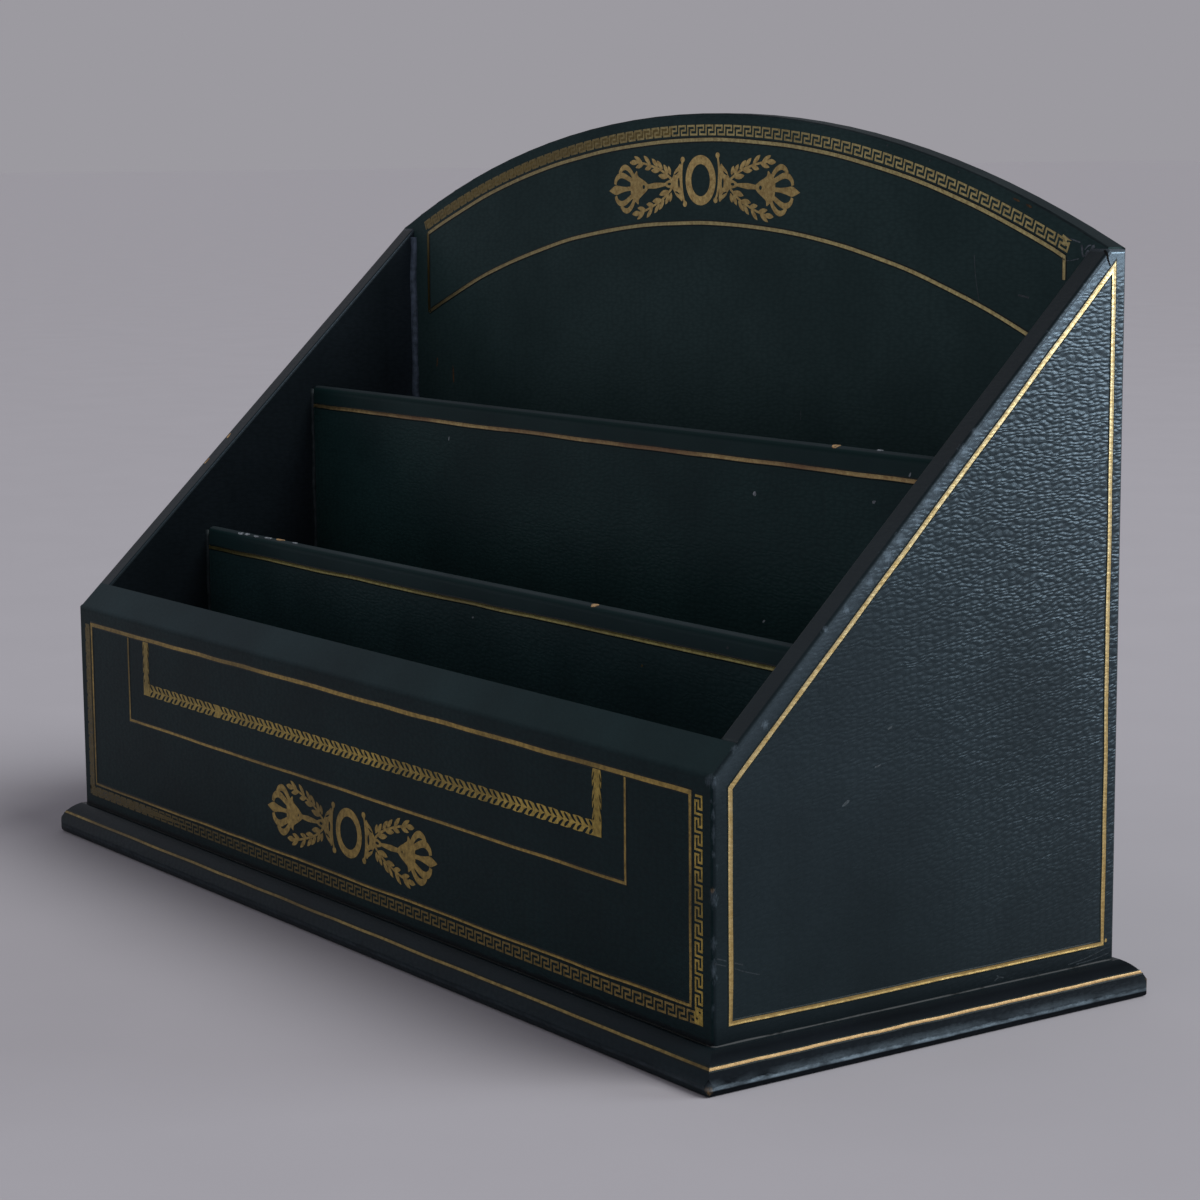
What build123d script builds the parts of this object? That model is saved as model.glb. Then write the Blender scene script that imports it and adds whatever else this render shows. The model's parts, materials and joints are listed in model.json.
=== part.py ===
from build123d import *
import os
from math import atan2, cos, sqrt, tan

os.makedirs("parts", exist_ok=True)

# Leather-covered letter rack: three open compartments between a low front board, two dividers
# and an arched back board, with sloping sides and a moulded plinth all round its foot.
# Millimetres. The origin is on the table under the middle of the rack, +X is to the right
# along the front, +Y runs from the front board to the back board and +Z is up.

# Case, measured over its leather
case_width = 290.0
compartment_depth = 31.0
front_thickness = 6.5
side_thickness = 6.0
back_thickness = 5.0
divider_thickness = 4.0
front_edge_height = 64.0
back_corner_height = 166.0
arch_rise = 31.0
front_divider_drop = 17.5
rear_divider_drop = 12.7

# Leather, lining and felt
leather = 0.8
lining = 0.5
divider_leather = 0.5
felt_thickness = 1.0
corner_round = 0.9
outer_edge_round = 1.0
edge_round = 0.5
bevel_round = 2.0

# Base board and the moulded plinth
base_thickness = 6.0
plinth_height = 8.3
plinth_projection = 5.7
plinth_ledge = 1.0
nose_height = 2.6
foot_undercut = 0.7
moulding_bulge = 0.85
turned_under = 3.5
plinth_corner_round = 1.6

# Rebates, housings and the glue room in them
rebate_depth = 1.5
housing_depth = 1.5
joint_clearance = 0.1
felt_clearance = 0.2

# Cut brads, square in section and tapered on two faces
brad_length = 14.0
brad_width = 1.4
brad_tip_width = 0.6
brad_depth = 1.0
brad_head_width = 2.0
brad_head_height = 0.6
brad_clearance = 0.03
front_brad_heights = (22.0, 46.0)
back_brad_heights = (24.0, 64.0, 104.0, 144.0)
plinth_brad_sink = 1.2
plinth_brads_along = {"front": 4, "side": 2}
plinth_brad_end_margin = 30.0

# Places worked out from the sizes above
half_width = case_width / 2
case_depth = front_thickness + 3 * compartment_depth + 2 * divider_thickness + back_thickness
front_y = -case_depth / 2
back_y = case_depth / 2
front_inner_y = front_y + front_thickness
back_inner_y = back_y - back_thickness
front_wood_outer_y = front_y + leather
front_wood_inner_y = front_inner_y - lining
back_wood_inner_y = back_inner_y + lining
back_wood_outer_y = back_y - leather
side_outer_x = half_width - leather
side_clear_x = half_width - side_thickness
side_inner_x = side_clear_x + lining
floor_z = felt_thickness + base_thickness
slope = atan2(back_corner_height - front_edge_height, back_inner_y - front_y)
slope_skin = leather / cos(slope)
arch_radius = (half_width**2 + arch_rise**2) / (2 * arch_rise)
arch_centre_z = back_corner_height + arch_rise - arch_radius
front_divider_y = front_inner_y + compartment_depth
rear_divider_y = front_divider_y + divider_thickness + compartment_depth

# How far a cut reaches past what it cuts
cut_reach = 10.0


def edge_height(y):
    """Height of the sloping top edge, over its leather, at a distance y along the side."""
    return front_edge_height + (y - front_y) * tan(slope)


def crest_height(y, drop):
    """Height of a divider's crest, which lies a drop below the sloping edges of the sides."""
    return edge_height(y + divider_thickness / 2) - drop


dividers = {
    "front_divider": (front_divider_y, crest_height(front_divider_y, front_divider_drop)),
    "rear_divider": (rear_divider_y, crest_height(rear_divider_y, rear_divider_drop)),
}


def block(low, high):
    """A board or cut between two opposite corners."""
    size = [b - a for a, b in zip(low, high)]
    middle = [(a + b) / 2 for a, b in zip(low, high)]
    return Pos(*middle) * Box(*size)


def along_x(points, x_low, x_high):
    """A flat outline of (y, z) points run from x_low to x_high."""
    face = make_face(Polyline(*points, close=True))
    return extrude(Plane.YZ.offset(x_low) * face, amount=x_high - x_low)


def upright(points, z_low, z_high):
    """A plan outline of (x, y) points run from z_low to z_high."""
    face = make_face(Polyline(*points, close=True))
    return extrude(Plane.XY.offset(z_low) * face, amount=z_high - z_low)


def arch_slab(half, inset, z_low, y_low, y_high):
    """The arched outline, inset from the outer arch, run from y_low to y_high."""
    radius = arch_radius - inset
    shoulder = arch_centre_z + sqrt(radius**2 - half**2)
    crown = arch_centre_z + radius
    foot = Polyline((-half, shoulder), (-half, z_low), (half, z_low), (half, shoulder))
    arc = ThreePointArc((half, shoulder), (0, crown), (-half, shoulder))
    face = make_face(foot + arc)
    return extrude(Plane.XZ.offset(-y_high) * face, amount=y_high - y_low)


def mirrored(solid):
    """The same piece on the left side."""
    return mirror(solid, about=Plane.YZ)


def brad(grow=0.0):
    """A cut brad that points along +Z, with the top of its head at the origin."""
    root = Rectangle(brad_depth + 2 * grow, brad_width + 2 * grow)
    tip = Pos(0, 0, brad_length + grow) * Rectangle(brad_depth + 2 * grow, brad_tip_width + 2 * grow)
    head = Rectangle(brad_depth + 2 * grow, brad_head_width + 2 * grow)
    return loft([root.face(), tip.face()]) + extrude(head, amount=brad_head_height + grow)


def case_brad_places():
    """Each brad runs through the front or back board into the end of a side board."""
    x = (side_inner_x + side_outer_x) / 2
    places = []
    for side in (-1, 1):
        for z in front_brad_heights:
            places.append(Pos(side * x, front_wood_outer_y, z) * Rot(-90, 0, 0))
        for z in back_brad_heights:
            places.append(Pos(side * x, back_wood_outer_y, z) * Rot(90, 0, 0))
    return places


def spread(count, half_length):
    """Even places along a moulding, the outer ones a margin in from its ends."""
    reach = half_length - plinth_brad_end_margin
    return [-reach + 2 * reach * i / (count - 1) for i in range(count)]


def plinth_brad_places():
    """Each brad runs through a moulding and a wall into the edge of the base board."""
    z = felt_thickness + base_thickness / 2
    out = plinth_projection - leather - plinth_brad_sink
    places = []
    for x in spread(plinth_brads_along["front"], half_width):
        places.append(Pos(x, front_y - out, z) * Rot(-90, 0, 0) * Rot(0, 0, 90))
        places.append(Pos(x, back_y + out, z) * Rot(90, 0, 0) * Rot(0, 0, 90))
    for y in spread(plinth_brads_along["side"], case_depth / 2):
        places.append(Pos(half_width + out, y, z) * Rot(0, -90, 0))
        places.append(Pos(-half_width - out, y, z) * Rot(0, 90, 0))
    return places


def brads(places, grow=0.0):
    """One brad, or the cut that it makes, at each place."""
    return [place * brad(grow) for place in places]


def nailed(solid):
    """A wooden piece with the cuts of the brads that reach it."""
    for cut in brads(case_brad_places() + plinth_brad_places(), brad_clearance):
        solid -= cut
    return solid


def base_seat():
    """The rebate that the base board fills, low on the inside of the four walls."""
    x = side_inner_x + rebate_depth
    low = (-x, front_wood_inner_y - rebate_depth, felt_thickness)
    return block(low, (x, back_wood_inner_y + rebate_depth, floor_z))


def base_board():
    """The floor of the rack, let into the walls."""
    x = side_inner_x + rebate_depth - joint_clearance
    y_low = front_wood_inner_y - rebate_depth + joint_clearance
    y_high = back_wood_inner_y + rebate_depth - joint_clearance
    return nailed(block((-x, y_low, felt_thickness), (x, y_high, floor_z)))


def end_rebates(y_low, y_high):
    """The rebates that take the ends of both side boards in the front or back board."""
    x = side_inner_x - joint_clearance
    right = block((x, y_low, 0), (half_width, y_high, back_corner_height + arch_rise))
    return right + mirrored(right)


def front_board():
    """The low front board, with its top bevelled in line with the sides."""
    outline = [
        (front_wood_outer_y, felt_thickness),
        (front_wood_inner_y, felt_thickness),
        (front_wood_inner_y, edge_height(front_wood_inner_y) - slope_skin),
        (front_wood_outer_y, edge_height(front_wood_outer_y) - slope_skin),
    ]
    board = along_x(outline, -side_outer_x, side_outer_x)
    board -= end_rebates(front_wood_inner_y - rebate_depth, front_wood_inner_y)
    return nailed(board - base_seat())


def back_board():
    """The tall arched back board."""
    board = arch_slab(side_outer_x, leather, felt_thickness, back_wood_inner_y, back_wood_outer_y)
    board -= end_rebates(back_wood_inner_y, back_wood_inner_y + rebate_depth)
    return nailed(board - base_seat())


def side_outline(y_low, y_high, z_low, skin):
    """A side wall seen from its end: plumb ends, a sloping top and a level rear corner."""
    corner = back_corner_height - skin
    return [
        (y_low, z_low),
        (y_high, z_low),
        (y_high, corner),
        (back_inner_y, corner),
        (y_low, edge_height(y_low) - skin),
    ]


def divider_outline(y, height, skin, z_low):
    """A divider seen from its end, with a fully rounded top edge."""
    y_low = y + skin
    y_high = y + divider_thickness - skin
    radius = (y_high - y_low) / 2
    shoulder = height - skin - radius
    foot = Polyline((y_high, shoulder), (y_high, z_low), (y_low, z_low), (y_low, shoulder))
    arc = ThreePointArc((y_low, shoulder), (y_low + radius, shoulder + radius), (y_high, shoulder))
    return make_face(foot + arc)


def divider_slab(name, skin, half, z_low):
    """A divider's outline run across the rack, half a length each way."""
    y, height = dividers[name]
    face = divider_outline(y, height, skin, z_low)
    return extrude(Plane.YZ.offset(-half) * face, amount=2 * half)


def divider_housing(name, x_low, x_high):
    """The slot that a divider's wooden end stands in."""
    y, height = dividers[name]
    y_low = y + divider_leather - joint_clearance
    y_high = y + divider_thickness - divider_leather + joint_clearance
    top = height - divider_leather + joint_clearance
    return block((x_low, y_low, floor_z), (x_high, y_high, top))


def side_board():
    """The right side board, rebated for the base and housed for both dividers."""
    y_low = front_wood_inner_y - rebate_depth
    y_high = back_wood_inner_y + rebate_depth
    board = along_x(side_outline(y_low, y_high, felt_thickness, slope_skin), side_inner_x, side_outer_x)
    for name in dividers:
        board -= divider_housing(name, side_inner_x - cut_reach, side_inner_x + housing_depth)
    return nailed(board - base_seat())


def divider_board(name):
    """A thin divider, long enough to stand in the housings of both sides."""
    half = side_inner_x + housing_depth - joint_clearance
    return divider_slab(name, divider_leather, half, floor_z)


def divider_cover(name):
    """Leather over both faces and the rounded top of a divider."""
    outer = divider_slab(name, 0.0, side_clear_x, floor_z)
    return outer - divider_slab(name, divider_leather, half_width, floor_z - cut_reach)


def plinth_face(skin, z_low):
    """The plinth's section, with its distance out from the wall as x and its height as y."""
    foot = (plinth_projection - foot_undercut - skin, z_low)
    nose = (plinth_projection - skin, nose_height)
    ledge = (plinth_ledge, plinth_height - skin)
    run, rise = nose[0] - ledge[0], ledge[1] - nose[1]
    chord = sqrt(run**2 + rise**2)
    crest_x = (nose[0] + ledge[0]) / 2 + moulding_bulge * rise / chord
    crest_z = (nose[1] + ledge[1]) / 2 + moulding_bulge * run / chord
    toe_x = plinth_projection - skin - foot_undercut / 4
    toe_z = (z_low + nose_height) / 2
    inner = Polyline(ledge, (-leather, plinth_height - skin), (-leather, z_low), foot)
    toe = ThreePointArc(foot, (toe_x, toe_z), nose)
    ovolo = ThreePointArc(nose, (crest_x, crest_z), ledge)
    return make_face(inner + toe + ovolo)


def front_plinth_run(face):
    """A section run along the front of the plinth and mitred at both corners."""
    place = Plane((half_width + cut_reach, front_y, 0), x_dir=(0, -1, 0), z_dir=(-1, 0, 0))
    run = extrude(place * face, amount=case_width + 2 * cut_reach)
    wedge = [
        (-half_width - cut_reach, front_y - cut_reach),
        (half_width + cut_reach, front_y - cut_reach),
        (half_width - cut_reach, front_y + cut_reach),
        (-half_width + cut_reach, front_y + cut_reach),
    ]
    return run & upright(wedge, -cut_reach, plinth_height + cut_reach)


def right_plinth_run(face):
    """A section run along the right side of the plinth and mitred at both corners."""
    place = Plane((half_width, back_y + cut_reach, 0), x_dir=(1, 0, 0), z_dir=(0, -1, 0))
    run = extrude(place * face, amount=case_depth + 2 * cut_reach)
    wedge = [
        (half_width + cut_reach, front_y - cut_reach),
        (half_width + cut_reach, back_y + cut_reach),
        (half_width - cut_reach, back_y - cut_reach),
        (half_width - cut_reach, front_y + cut_reach),
    ]
    return run & upright(wedge, -cut_reach, plinth_height + cut_reach)


def plinth_limit(skin):
    """The rounded outline that softens the plinth's four corners."""
    width = case_width + 2 * (plinth_projection - skin)
    depth = case_depth + 2 * (plinth_projection - skin)
    outline = RectangleRounded(width, depth, plinth_corner_round - skin)
    return extrude(outline, amount=plinth_height + cut_reach)


def plinth_moulding(side):
    """One mitred wooden moulding of the plinth."""
    face = plinth_face(leather, felt_thickness)
    if side in ("front", "back"):
        run = front_plinth_run(face)
    else:
        run = right_plinth_run(face)
    run = run & plinth_limit(leather)
    if side == "back":
        run = mirror(run, about=Plane.XZ)
    if side == "left":
        run = mirrored(run)
    return nailed(run)


def plinth_ring(skin, z_low):
    """A section run right round the foot of the case."""
    face = plinth_face(skin, z_low)
    front = front_plinth_run(face)
    right = right_plinth_run(face)
    ring = front + right + mirror(front, about=Plane.XZ) + mirrored(right)
    return ring & plinth_limit(skin)


def plinth_cover():
    """Leather over the mouldings, from the foot of the walls round the nose and turned under."""
    outer = plinth_ring(0.0, felt_thickness - leather)
    return outer - plinth_ring(leather, felt_thickness) - felt_bed(0.0)


def felt_bed(clearance):
    """The bare patch under the rack, inside the leather that is turned under."""
    out = plinth_projection - foot_undercut - turned_under - clearance
    x = half_width + out
    y = case_depth / 2 + out
    return block((-x, -y, 0), (x, y, felt_thickness))


def corner_cut(z_high):
    """What the rounding takes off the front right corner of the leather, full height."""
    x = half_width - corner_round
    y = front_y + corner_round
    height = z_high - plinth_height
    square = block((x, front_y - cut_reach, plinth_height), (half_width + cut_reach, y, z_high))
    return square - Pos(x, y, plinth_height + height / 2) * Cylinder(corner_round, height)


def all_corner_cuts():
    """The rounding at the four upright corners of the case."""
    right = corner_cut(back_corner_height + arch_rise)
    right += mirror(right, about=Plane.XZ)
    return right + mirrored(right)


def mitre_waste(wall_y, inner_y, reach):
    """What the leather of the front or back gives up to the leather of the right side."""
    skin_y = wall_y + leather if inner_y > wall_y else wall_y - leather
    plan = [
        (half_width, wall_y),
        (side_outer_x, skin_y),
        (side_outer_x, inner_y + (inner_y - wall_y)),
        (reach, inner_y + (inner_y - wall_y)),
        (reach, wall_y),
    ]
    return upright(plan, 0, back_corner_height + arch_rise + cut_reach)


def front_cover():
    """Leather over the front face and the bevelled top of the front board."""
    top_y = front_inner_y
    points = [
        (front_y, plinth_height),
        (front_wood_outer_y, plinth_height),
        (front_wood_outer_y, edge_height(front_wood_outer_y) - slope_skin),
        (top_y, edge_height(top_y) - slope_skin),
        (top_y, edge_height(top_y)),
        (front_y, front_edge_height),
    ]
    face = make_face(Polyline(*points, close=True))
    brow = face.vertices().sort_by(Axis.X)[:2].sort_by(Axis.Y)[-1]
    face = fillet(brow, bevel_round)
    sheet = extrude(Plane.YZ.offset(-half_width) * face, amount=case_width)
    waste = mitre_waste(front_y, front_inner_y, half_width + cut_reach)
    return sheet - waste - mirrored(waste) - all_corner_cuts()


def back_cover():
    """Leather over the back and the arched top edge of the back board."""
    sheet = arch_slab(half_width, 0.0, plinth_height, back_inner_y, back_y)
    rims = sheet.edges().filter_by(GeomType.CIRCLE)
    sheet = fillet(rims, edge_round)
    hollow_y = back_inner_y - cut_reach
    sheet -= arch_slab(half_width + leather, leather, -cut_reach, hollow_y, back_wood_outer_y)
    waste = mitre_waste(back_y, back_inner_y, half_width + cut_reach)
    return sheet - waste - mirrored(waste) - all_corner_cuts()


def sloped_rims(sheet, x):
    """The edges of a side sheet along its slope and its level rear corner, at a distance x."""
    level = [e for e in sheet.edges() if abs(e.tangent_at(0.5).X) < 1e-6 and abs(e.tangent_at(0.5).Z) < 0.99]
    top = [e for e in level if e.center().Z > plinth_height + 1]
    return [e for e in top if abs(e.center().X - x) < 1e-6]


def side_cover():
    """Leather over the right side, turned over its sloping top edge."""
    sheet = along_x(side_outline(front_y, back_y, plinth_height, 0.0), side_clear_x, half_width)
    sheet = fillet(sloped_rims(sheet, half_width), outer_edge_round)
    sheet = fillet(sloped_rims(sheet, side_clear_x), edge_round)
    hollow = side_outline(front_y - cut_reach, back_y + cut_reach, -cut_reach, slope_skin)
    sheet -= along_x(hollow, side_clear_x - cut_reach, side_outer_x)
    for wall_y, inner_y in ((front_y, front_inner_y), (back_y, back_inner_y)):
        skin_y = wall_y + leather if inner_y > wall_y else wall_y - leather
        beyond = wall_y - (inner_y - wall_y)
        plan = [
            (side_clear_x - cut_reach, inner_y),
            (side_outer_x, inner_y),
            (side_outer_x, skin_y),
            (half_width, wall_y),
            (half_width, beyond),
            (side_clear_x - cut_reach, beyond),
        ]
        sheet -= upright(plan, 0, back_corner_height + arch_rise)
    return sheet - all_corner_cuts()


def side_lining():
    """Thin leather inside the right side, cut round both dividers."""
    outline = side_outline(front_wood_inner_y, back_wood_inner_y, floor_z, slope_skin)
    sheet = along_x(outline, side_clear_x, side_inner_x)
    for name in dividers:
        sheet -= divider_housing(name, side_clear_x - cut_reach, side_inner_x + cut_reach)
    return sheet


def front_lining():
    """Thin leather inside the front board."""
    outline = [
        (front_wood_inner_y, floor_z),
        (front_inner_y, floor_z),
        (front_inner_y, edge_height(front_inner_y) - slope_skin),
        (front_wood_inner_y, edge_height(front_wood_inner_y) - slope_skin),
    ]
    return along_x(outline, -side_clear_x, side_clear_x)


def back_lining():
    """Leather on the inside of the back board, with a small ear over each side wall."""
    sheet = arch_slab(side_outer_x, leather, floor_z, back_inner_y, back_wood_inner_y)
    wall = block((side_clear_x, back_inner_y, 0), (half_width, back_y, back_corner_height))
    return sheet - wall - mirrored(wall)


def floor_lining(y_low, y_high):
    """Thin leather on the floor of one compartment."""
    return block((-side_clear_x, y_low, floor_z), (side_clear_x, y_high, floor_z + lining))


def save(name, solids):
    """Write one named piece, or a group of like pieces, as its own file."""
    solids = [s for item in solids for s in item.solids()]
    piece = solids[0] if len(solids) == 1 else Compound(children=solids)
    piece.label = name
    export_step(piece, f"parts/{name}.step")
    print(name, len(solids), round(sum(s.volume for s in solids), 1))


def main():
    save("base_board", [base_board()])
    save("front_board", [front_board()])
    save("back_board", [back_board()])
    right_board = side_board()
    save("side_board_right", [right_board])
    save("side_board_left", [mirrored(right_board)])
    for name in dividers:
        save(f"{name}_board", [divider_board(name)])
        save(f"{name}_cover", [divider_cover(name)])
    for side in ("front", "back", "left", "right"):
        save(f"plinth_moulding_{side}", [plinth_moulding(side)])
    save("plinth_cover", [plinth_cover()])
    save("front_cover", [front_cover()])
    save("back_cover", [back_cover()])
    right_cover = side_cover()
    save("side_cover_right", [right_cover])
    save("side_cover_left", [mirrored(right_cover)])
    save("front_lining", [front_lining()])
    save("back_lining", [back_lining()])
    right_lining = side_lining()
    save("side_lining_right", [right_lining])
    save("side_lining_left", [mirrored(right_lining)])
    walls = [front_inner_y, front_divider_y, rear_divider_y, back_inner_y]
    for name, y_low, y_high in zip(("front", "middle", "rear"), walls, walls[1:]):
        start = y_low if name == "front" else y_low + divider_thickness
        save(f"floor_lining_{name}", [floor_lining(start, y_high)])
    save("base_felt", [felt_bed(felt_clearance)])
    save("case_brads", brads(case_brad_places()))
    save("plinth_brads", brads(plinth_brad_places()))


main()
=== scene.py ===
import json
import math

import bpy
from mathutils import Matrix, Vector, noise
from mathutils.geometry import delaunay_2d_cdt


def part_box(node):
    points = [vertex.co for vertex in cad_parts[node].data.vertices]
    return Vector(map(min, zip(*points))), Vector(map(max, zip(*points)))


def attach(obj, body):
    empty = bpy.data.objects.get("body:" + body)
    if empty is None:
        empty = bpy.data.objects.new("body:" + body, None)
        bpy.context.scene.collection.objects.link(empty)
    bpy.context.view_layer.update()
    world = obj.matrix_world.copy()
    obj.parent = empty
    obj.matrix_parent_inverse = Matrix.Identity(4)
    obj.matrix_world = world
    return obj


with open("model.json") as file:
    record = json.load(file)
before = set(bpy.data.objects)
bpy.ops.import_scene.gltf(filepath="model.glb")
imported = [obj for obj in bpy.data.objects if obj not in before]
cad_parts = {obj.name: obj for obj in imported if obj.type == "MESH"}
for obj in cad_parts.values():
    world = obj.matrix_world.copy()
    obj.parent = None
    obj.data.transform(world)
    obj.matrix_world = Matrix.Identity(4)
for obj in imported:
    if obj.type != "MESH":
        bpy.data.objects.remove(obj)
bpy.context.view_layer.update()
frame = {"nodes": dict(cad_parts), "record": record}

MM = 0.001


# Sizes in millimetres, from the CAD nodes' boxes

def corners(node):
    """A node's lowest and highest corner, to a hundredth."""
    return [[round(value / MM, 2) for value in corner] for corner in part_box(node)]


def divider(name):
    """Name, front face and crest. The round crest's mesh ends just below its top, so that is rounded up."""
    low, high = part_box(f"{name}_divider_cover")
    return name, round(low.y / MM, 2), math.ceil(100 * high.z / MM) / 100


side_low, side_high = corners("side_cover_right")
back_low, back_high = corners("back_cover")
plinth_high = corners("plinth_cover")[1]
HALF, SIDE_CLEAR, CORNER = side_high[0], side_low[0], side_high[2]
BACK, BACK_INNER = back_high[1], back_low[1]
FRONT = -BACK
DEPTH = BACK - FRONT
RISE = back_high[2] - CORNER
PLINTH_TOP = plinth_high[2]
NOSE_OUT = round(plinth_high[0] - HALF, 2)
DIVIDERS = (divider("front"), divider("rear"))

# Sizes of the CAD model at which no node's box ends
DIVIDER_THICK = 4.0
EDGE_FRONT = 64.0
EDGE_ROUND = 1.0
CASE_ROUND = 0.9
NOSE_Z = 2.6
LEDGE = 1.0
BULGE = 0.85

SLOPE = math.atan2(CORNER - EDGE_FRONT, BACK_INNER - FRONT)
RADIUS = (HALF**2 + RISE**2) / (2 * RISE)
CENTRE_Z = CORNER + RISE - RADIUS
# Lengths along the arch are measured at this radius
ARCH_MEASURE = RADIUS - 5.0


# Maps from a flat drawing (u, v) and a height h over the leather to a place in space

def on_front(u, v, h):
    return Vector((u, FRONT - h, v))


def on_divider(y):
    return lambda u, v, h: Vector((u, y - h, v))


def on_side(sign):
    return lambda u, v, h: Vector((sign * (HALF + h), FRONT + u, v))


def on_back_inner(u, v, h):
    return Vector((u, BACK_INNER - h, v))


def on_arch(u, v, h):
    """u runs along the arch from its middle and v is the depth below its edge."""
    angle = u / ARCH_MEASURE
    r = RADIUS - v
    return Vector((r * math.sin(angle), BACK_INNER - h, CENTRE_Z + r * math.cos(angle)))


def ovolo_arc():
    """Centre, radius and first angle of the plinth's rounded face, seen in section."""
    a, b = Vector((LEDGE, PLINTH_TOP)), Vector((NOSE_OUT, NOSE_Z))
    chord = (b - a).length
    r = (chord**2 / 4 + BULGE**2) / (2 * BULGE)
    normal = Vector((a.y - b.y, b.x - a.x)).normalized()
    centre = (a + b) / 2 - normal * (r - BULGE)
    return centre, r, math.atan2(a.y - centre.y, a.x - centre.x)


OVOLO_CENTRE, OVOLO_R, OVOLO_START = ovolo_arc()


def ovolo(p, h):
    """Distance out and height of a point p down the rounded face from its top."""
    angle = OVOLO_START - p / OVOLO_R
    r = OVOLO_R + h
    return OVOLO_CENTRE.x + r * math.cos(angle), OVOLO_CENTRE.y + r * math.sin(angle)


def on_plinth(side):
    """u is a share of the run, from mitre to mitre, and v is the way down the rounded face."""
    def place(u, v, h):
        out, z = ovolo(v, h)
        x, y = HALF + out, BACK + out
        return Vector({"front": (u * x, -y, z), "right": (x, u * y, z),
                       "back": (-u * x, y, z), "left": (-x, -u * y, z)}[side])
    return place


def on_crest(y, crest):
    """The rounded top of a divider, u along it and v back from its front face."""
    r = DIVIDER_THICK / 2
    return lambda u, v, h: Vector((u, y + v, crest - r + h + math.sqrt(max(r * r - (r - v)**2, 0.0))))


def slope_height(y):
    """Height of the side walls' sloping top."""
    return EDGE_FRONT + (y - FRONT) * math.tan(SLOPE)


def on_rim(sign):
    """The sloping top of a side wall, u across it and v from the case's middle to the back."""
    middle = (HALF + SIDE_CLEAR) / 2
    return lambda u, v, h: Vector((sign * middle + u, v - h * math.sin(SLOPE),
                                   slope_height(v) + h * math.cos(SLOPE)))


def over_slope_edge(u, v, h):
    """From the right rim over its outer edge on to the side: u along it, v across from the rim's flat."""
    quarter = EDGE_ROUND * math.pi / 2
    angle = min(max(v, 0.0), quarter) / EDGE_ROUND
    x = HALF - EDGE_ROUND + min(v, 0.0) + (EDGE_ROUND + h) * math.sin(angle)
    fall = EDGE_ROUND - (EDGE_ROUND + h) * math.cos(angle) + max(v - quarter, 0.0)
    return Vector((x, u + fall * math.sin(SLOPE), slope_height(u) - fall * math.cos(SLOPE)))


# Meshes

# How far plates and strips reach below the surface
SUNK = -0.05


def counter_clockwise(outline):
    area = sum(a[0] * b[1] - b[0] * a[1] for a, b in zip(outline, list(outline[1:]) + [outline[0]]))
    return outline if area > 0 else outline[::-1]


def flat_union(shapes, holes):
    """Joins overlapping flat outlines, less the holes, into one set of faces."""
    points, loops = [], []
    for outline in list(shapes) + list(holes):
        start = len(points)
        points += [Vector(p) for p in counter_clockwise(outline)]
        loops.append(list(range(start, len(points))))
    result = delaunay_2d_cdt(points, [], loops, 1, 1e-5)
    verts, faces, sources = result[0], result[2], result[5]
    kept = []
    for face, source in zip(faces, sources):
        if any(s < len(shapes) for s in source) and not any(s >= len(shapes) for s in source):
            kept.append(face)
    used = sorted({i for face in kept for i in face})
    index = {old: new for new, old in enumerate(used)}
    return [verts[i] for i in used], [[index[i] for i in face] for face in kept]


def tube_faces(count, sides, closed=False):
    """Faces of a closed section with so many sides, swept through count places."""
    faces = []
    for i in range(count if closed else count - 1):
        a, b = i * sides, (i + 1) % count * sides
        faces += [[a + j, a + (j + 1) % sides, b + (j + 1) % sides, b + j] for j in range(sides)]
    if not closed:
        last = (count - 1) * sides
        faces += [list(range(sides))[::-1], list(range(last, last + sides))]
    return faces


def normals_point_in(mesh):
    """Whether a mesh is inside out."""
    return sum(poly.center.dot(poly.normal) * poly.area for poly in mesh.polygons) < 0


class Batch:
    """Collects plates and strips on the leather that share an object."""

    def __init__(self, name, *mats):
        self.name, self.mats = name, mats
        self.verts, self.faces, self.face_mats = [], [], []

    def add(self, verts, faces, mat=0):
        base = len(self.verts)
        self.verts += verts
        self.faces += [[i + base for i in f] for f in faces]
        self.face_mats += mat if isinstance(mat, list) else [mat] * len(faces)

    def plate(self, shapes, place, holes=(), top=0.05, mat=0):
        """A thin closed plate over flat outlines, with walls round its rim."""
        flat, faces = flat_union(shapes, holes)
        n = len(flat)
        verts = [place(p.x, p.y, h) for h in (top, SUNK) for p in flat]
        lower = [[i + n for i in reversed(f)] for f in faces]
        edges = {(a, b): True for face in faces for a, b in zip(face, face[1:] + face[:1])}
        walls = [[b, a, a + n, b + n] for a, b in edges if (b, a) not in edges]
        self.add(verts, faces + lower + walls, mat)

    def finish(self, smooth=False):
        mesh = bpy.data.meshes.new(self.name)
        mesh.from_pydata([v * MM for v in self.verts], [], self.faces)
        for mat in self.mats:
            mesh.materials.append(mat)
        mesh.polygons.foreach_set("material_index", self.face_mats)
        if smooth:
            mesh.polygons.foreach_set("use_smooth", [True] * len(mesh.polygons))
        mesh.validate()
        mesh.update()
        obj = bpy.data.objects.new(self.name, mesh)
        bpy.context.scene.collection.objects.link(obj)
        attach(obj, "root")
        if normals_point_in(mesh):
            mesh.flip_normals()


# Drawing helpers, in millimetres on the flat

def spline(points, steps=6, closed=False):
    """A smooth line through points."""
    pts = [Vector(p) for p in points]
    n = len(pts)
    out = []
    for i in range(n if closed else n - 1):
        if closed:
            a, b, c, d = (pts[(i + k) % n] for k in (-1, 0, 1, 2))
        else:
            a, b, c, d = pts[max(i - 1, 0)], pts[i], pts[i + 1], pts[min(i + 2, n - 1)]
        for s in range(steps):
            t = s / steps
            out.append(0.5 * (2 * b + (c - a) * t + (2 * a - 5 * b + 4 * c - d) * t**2
                              + (3 * b - a - 3 * c + d) * t**3))
    if not closed:
        out.append(pts[-1])
    return out


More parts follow.
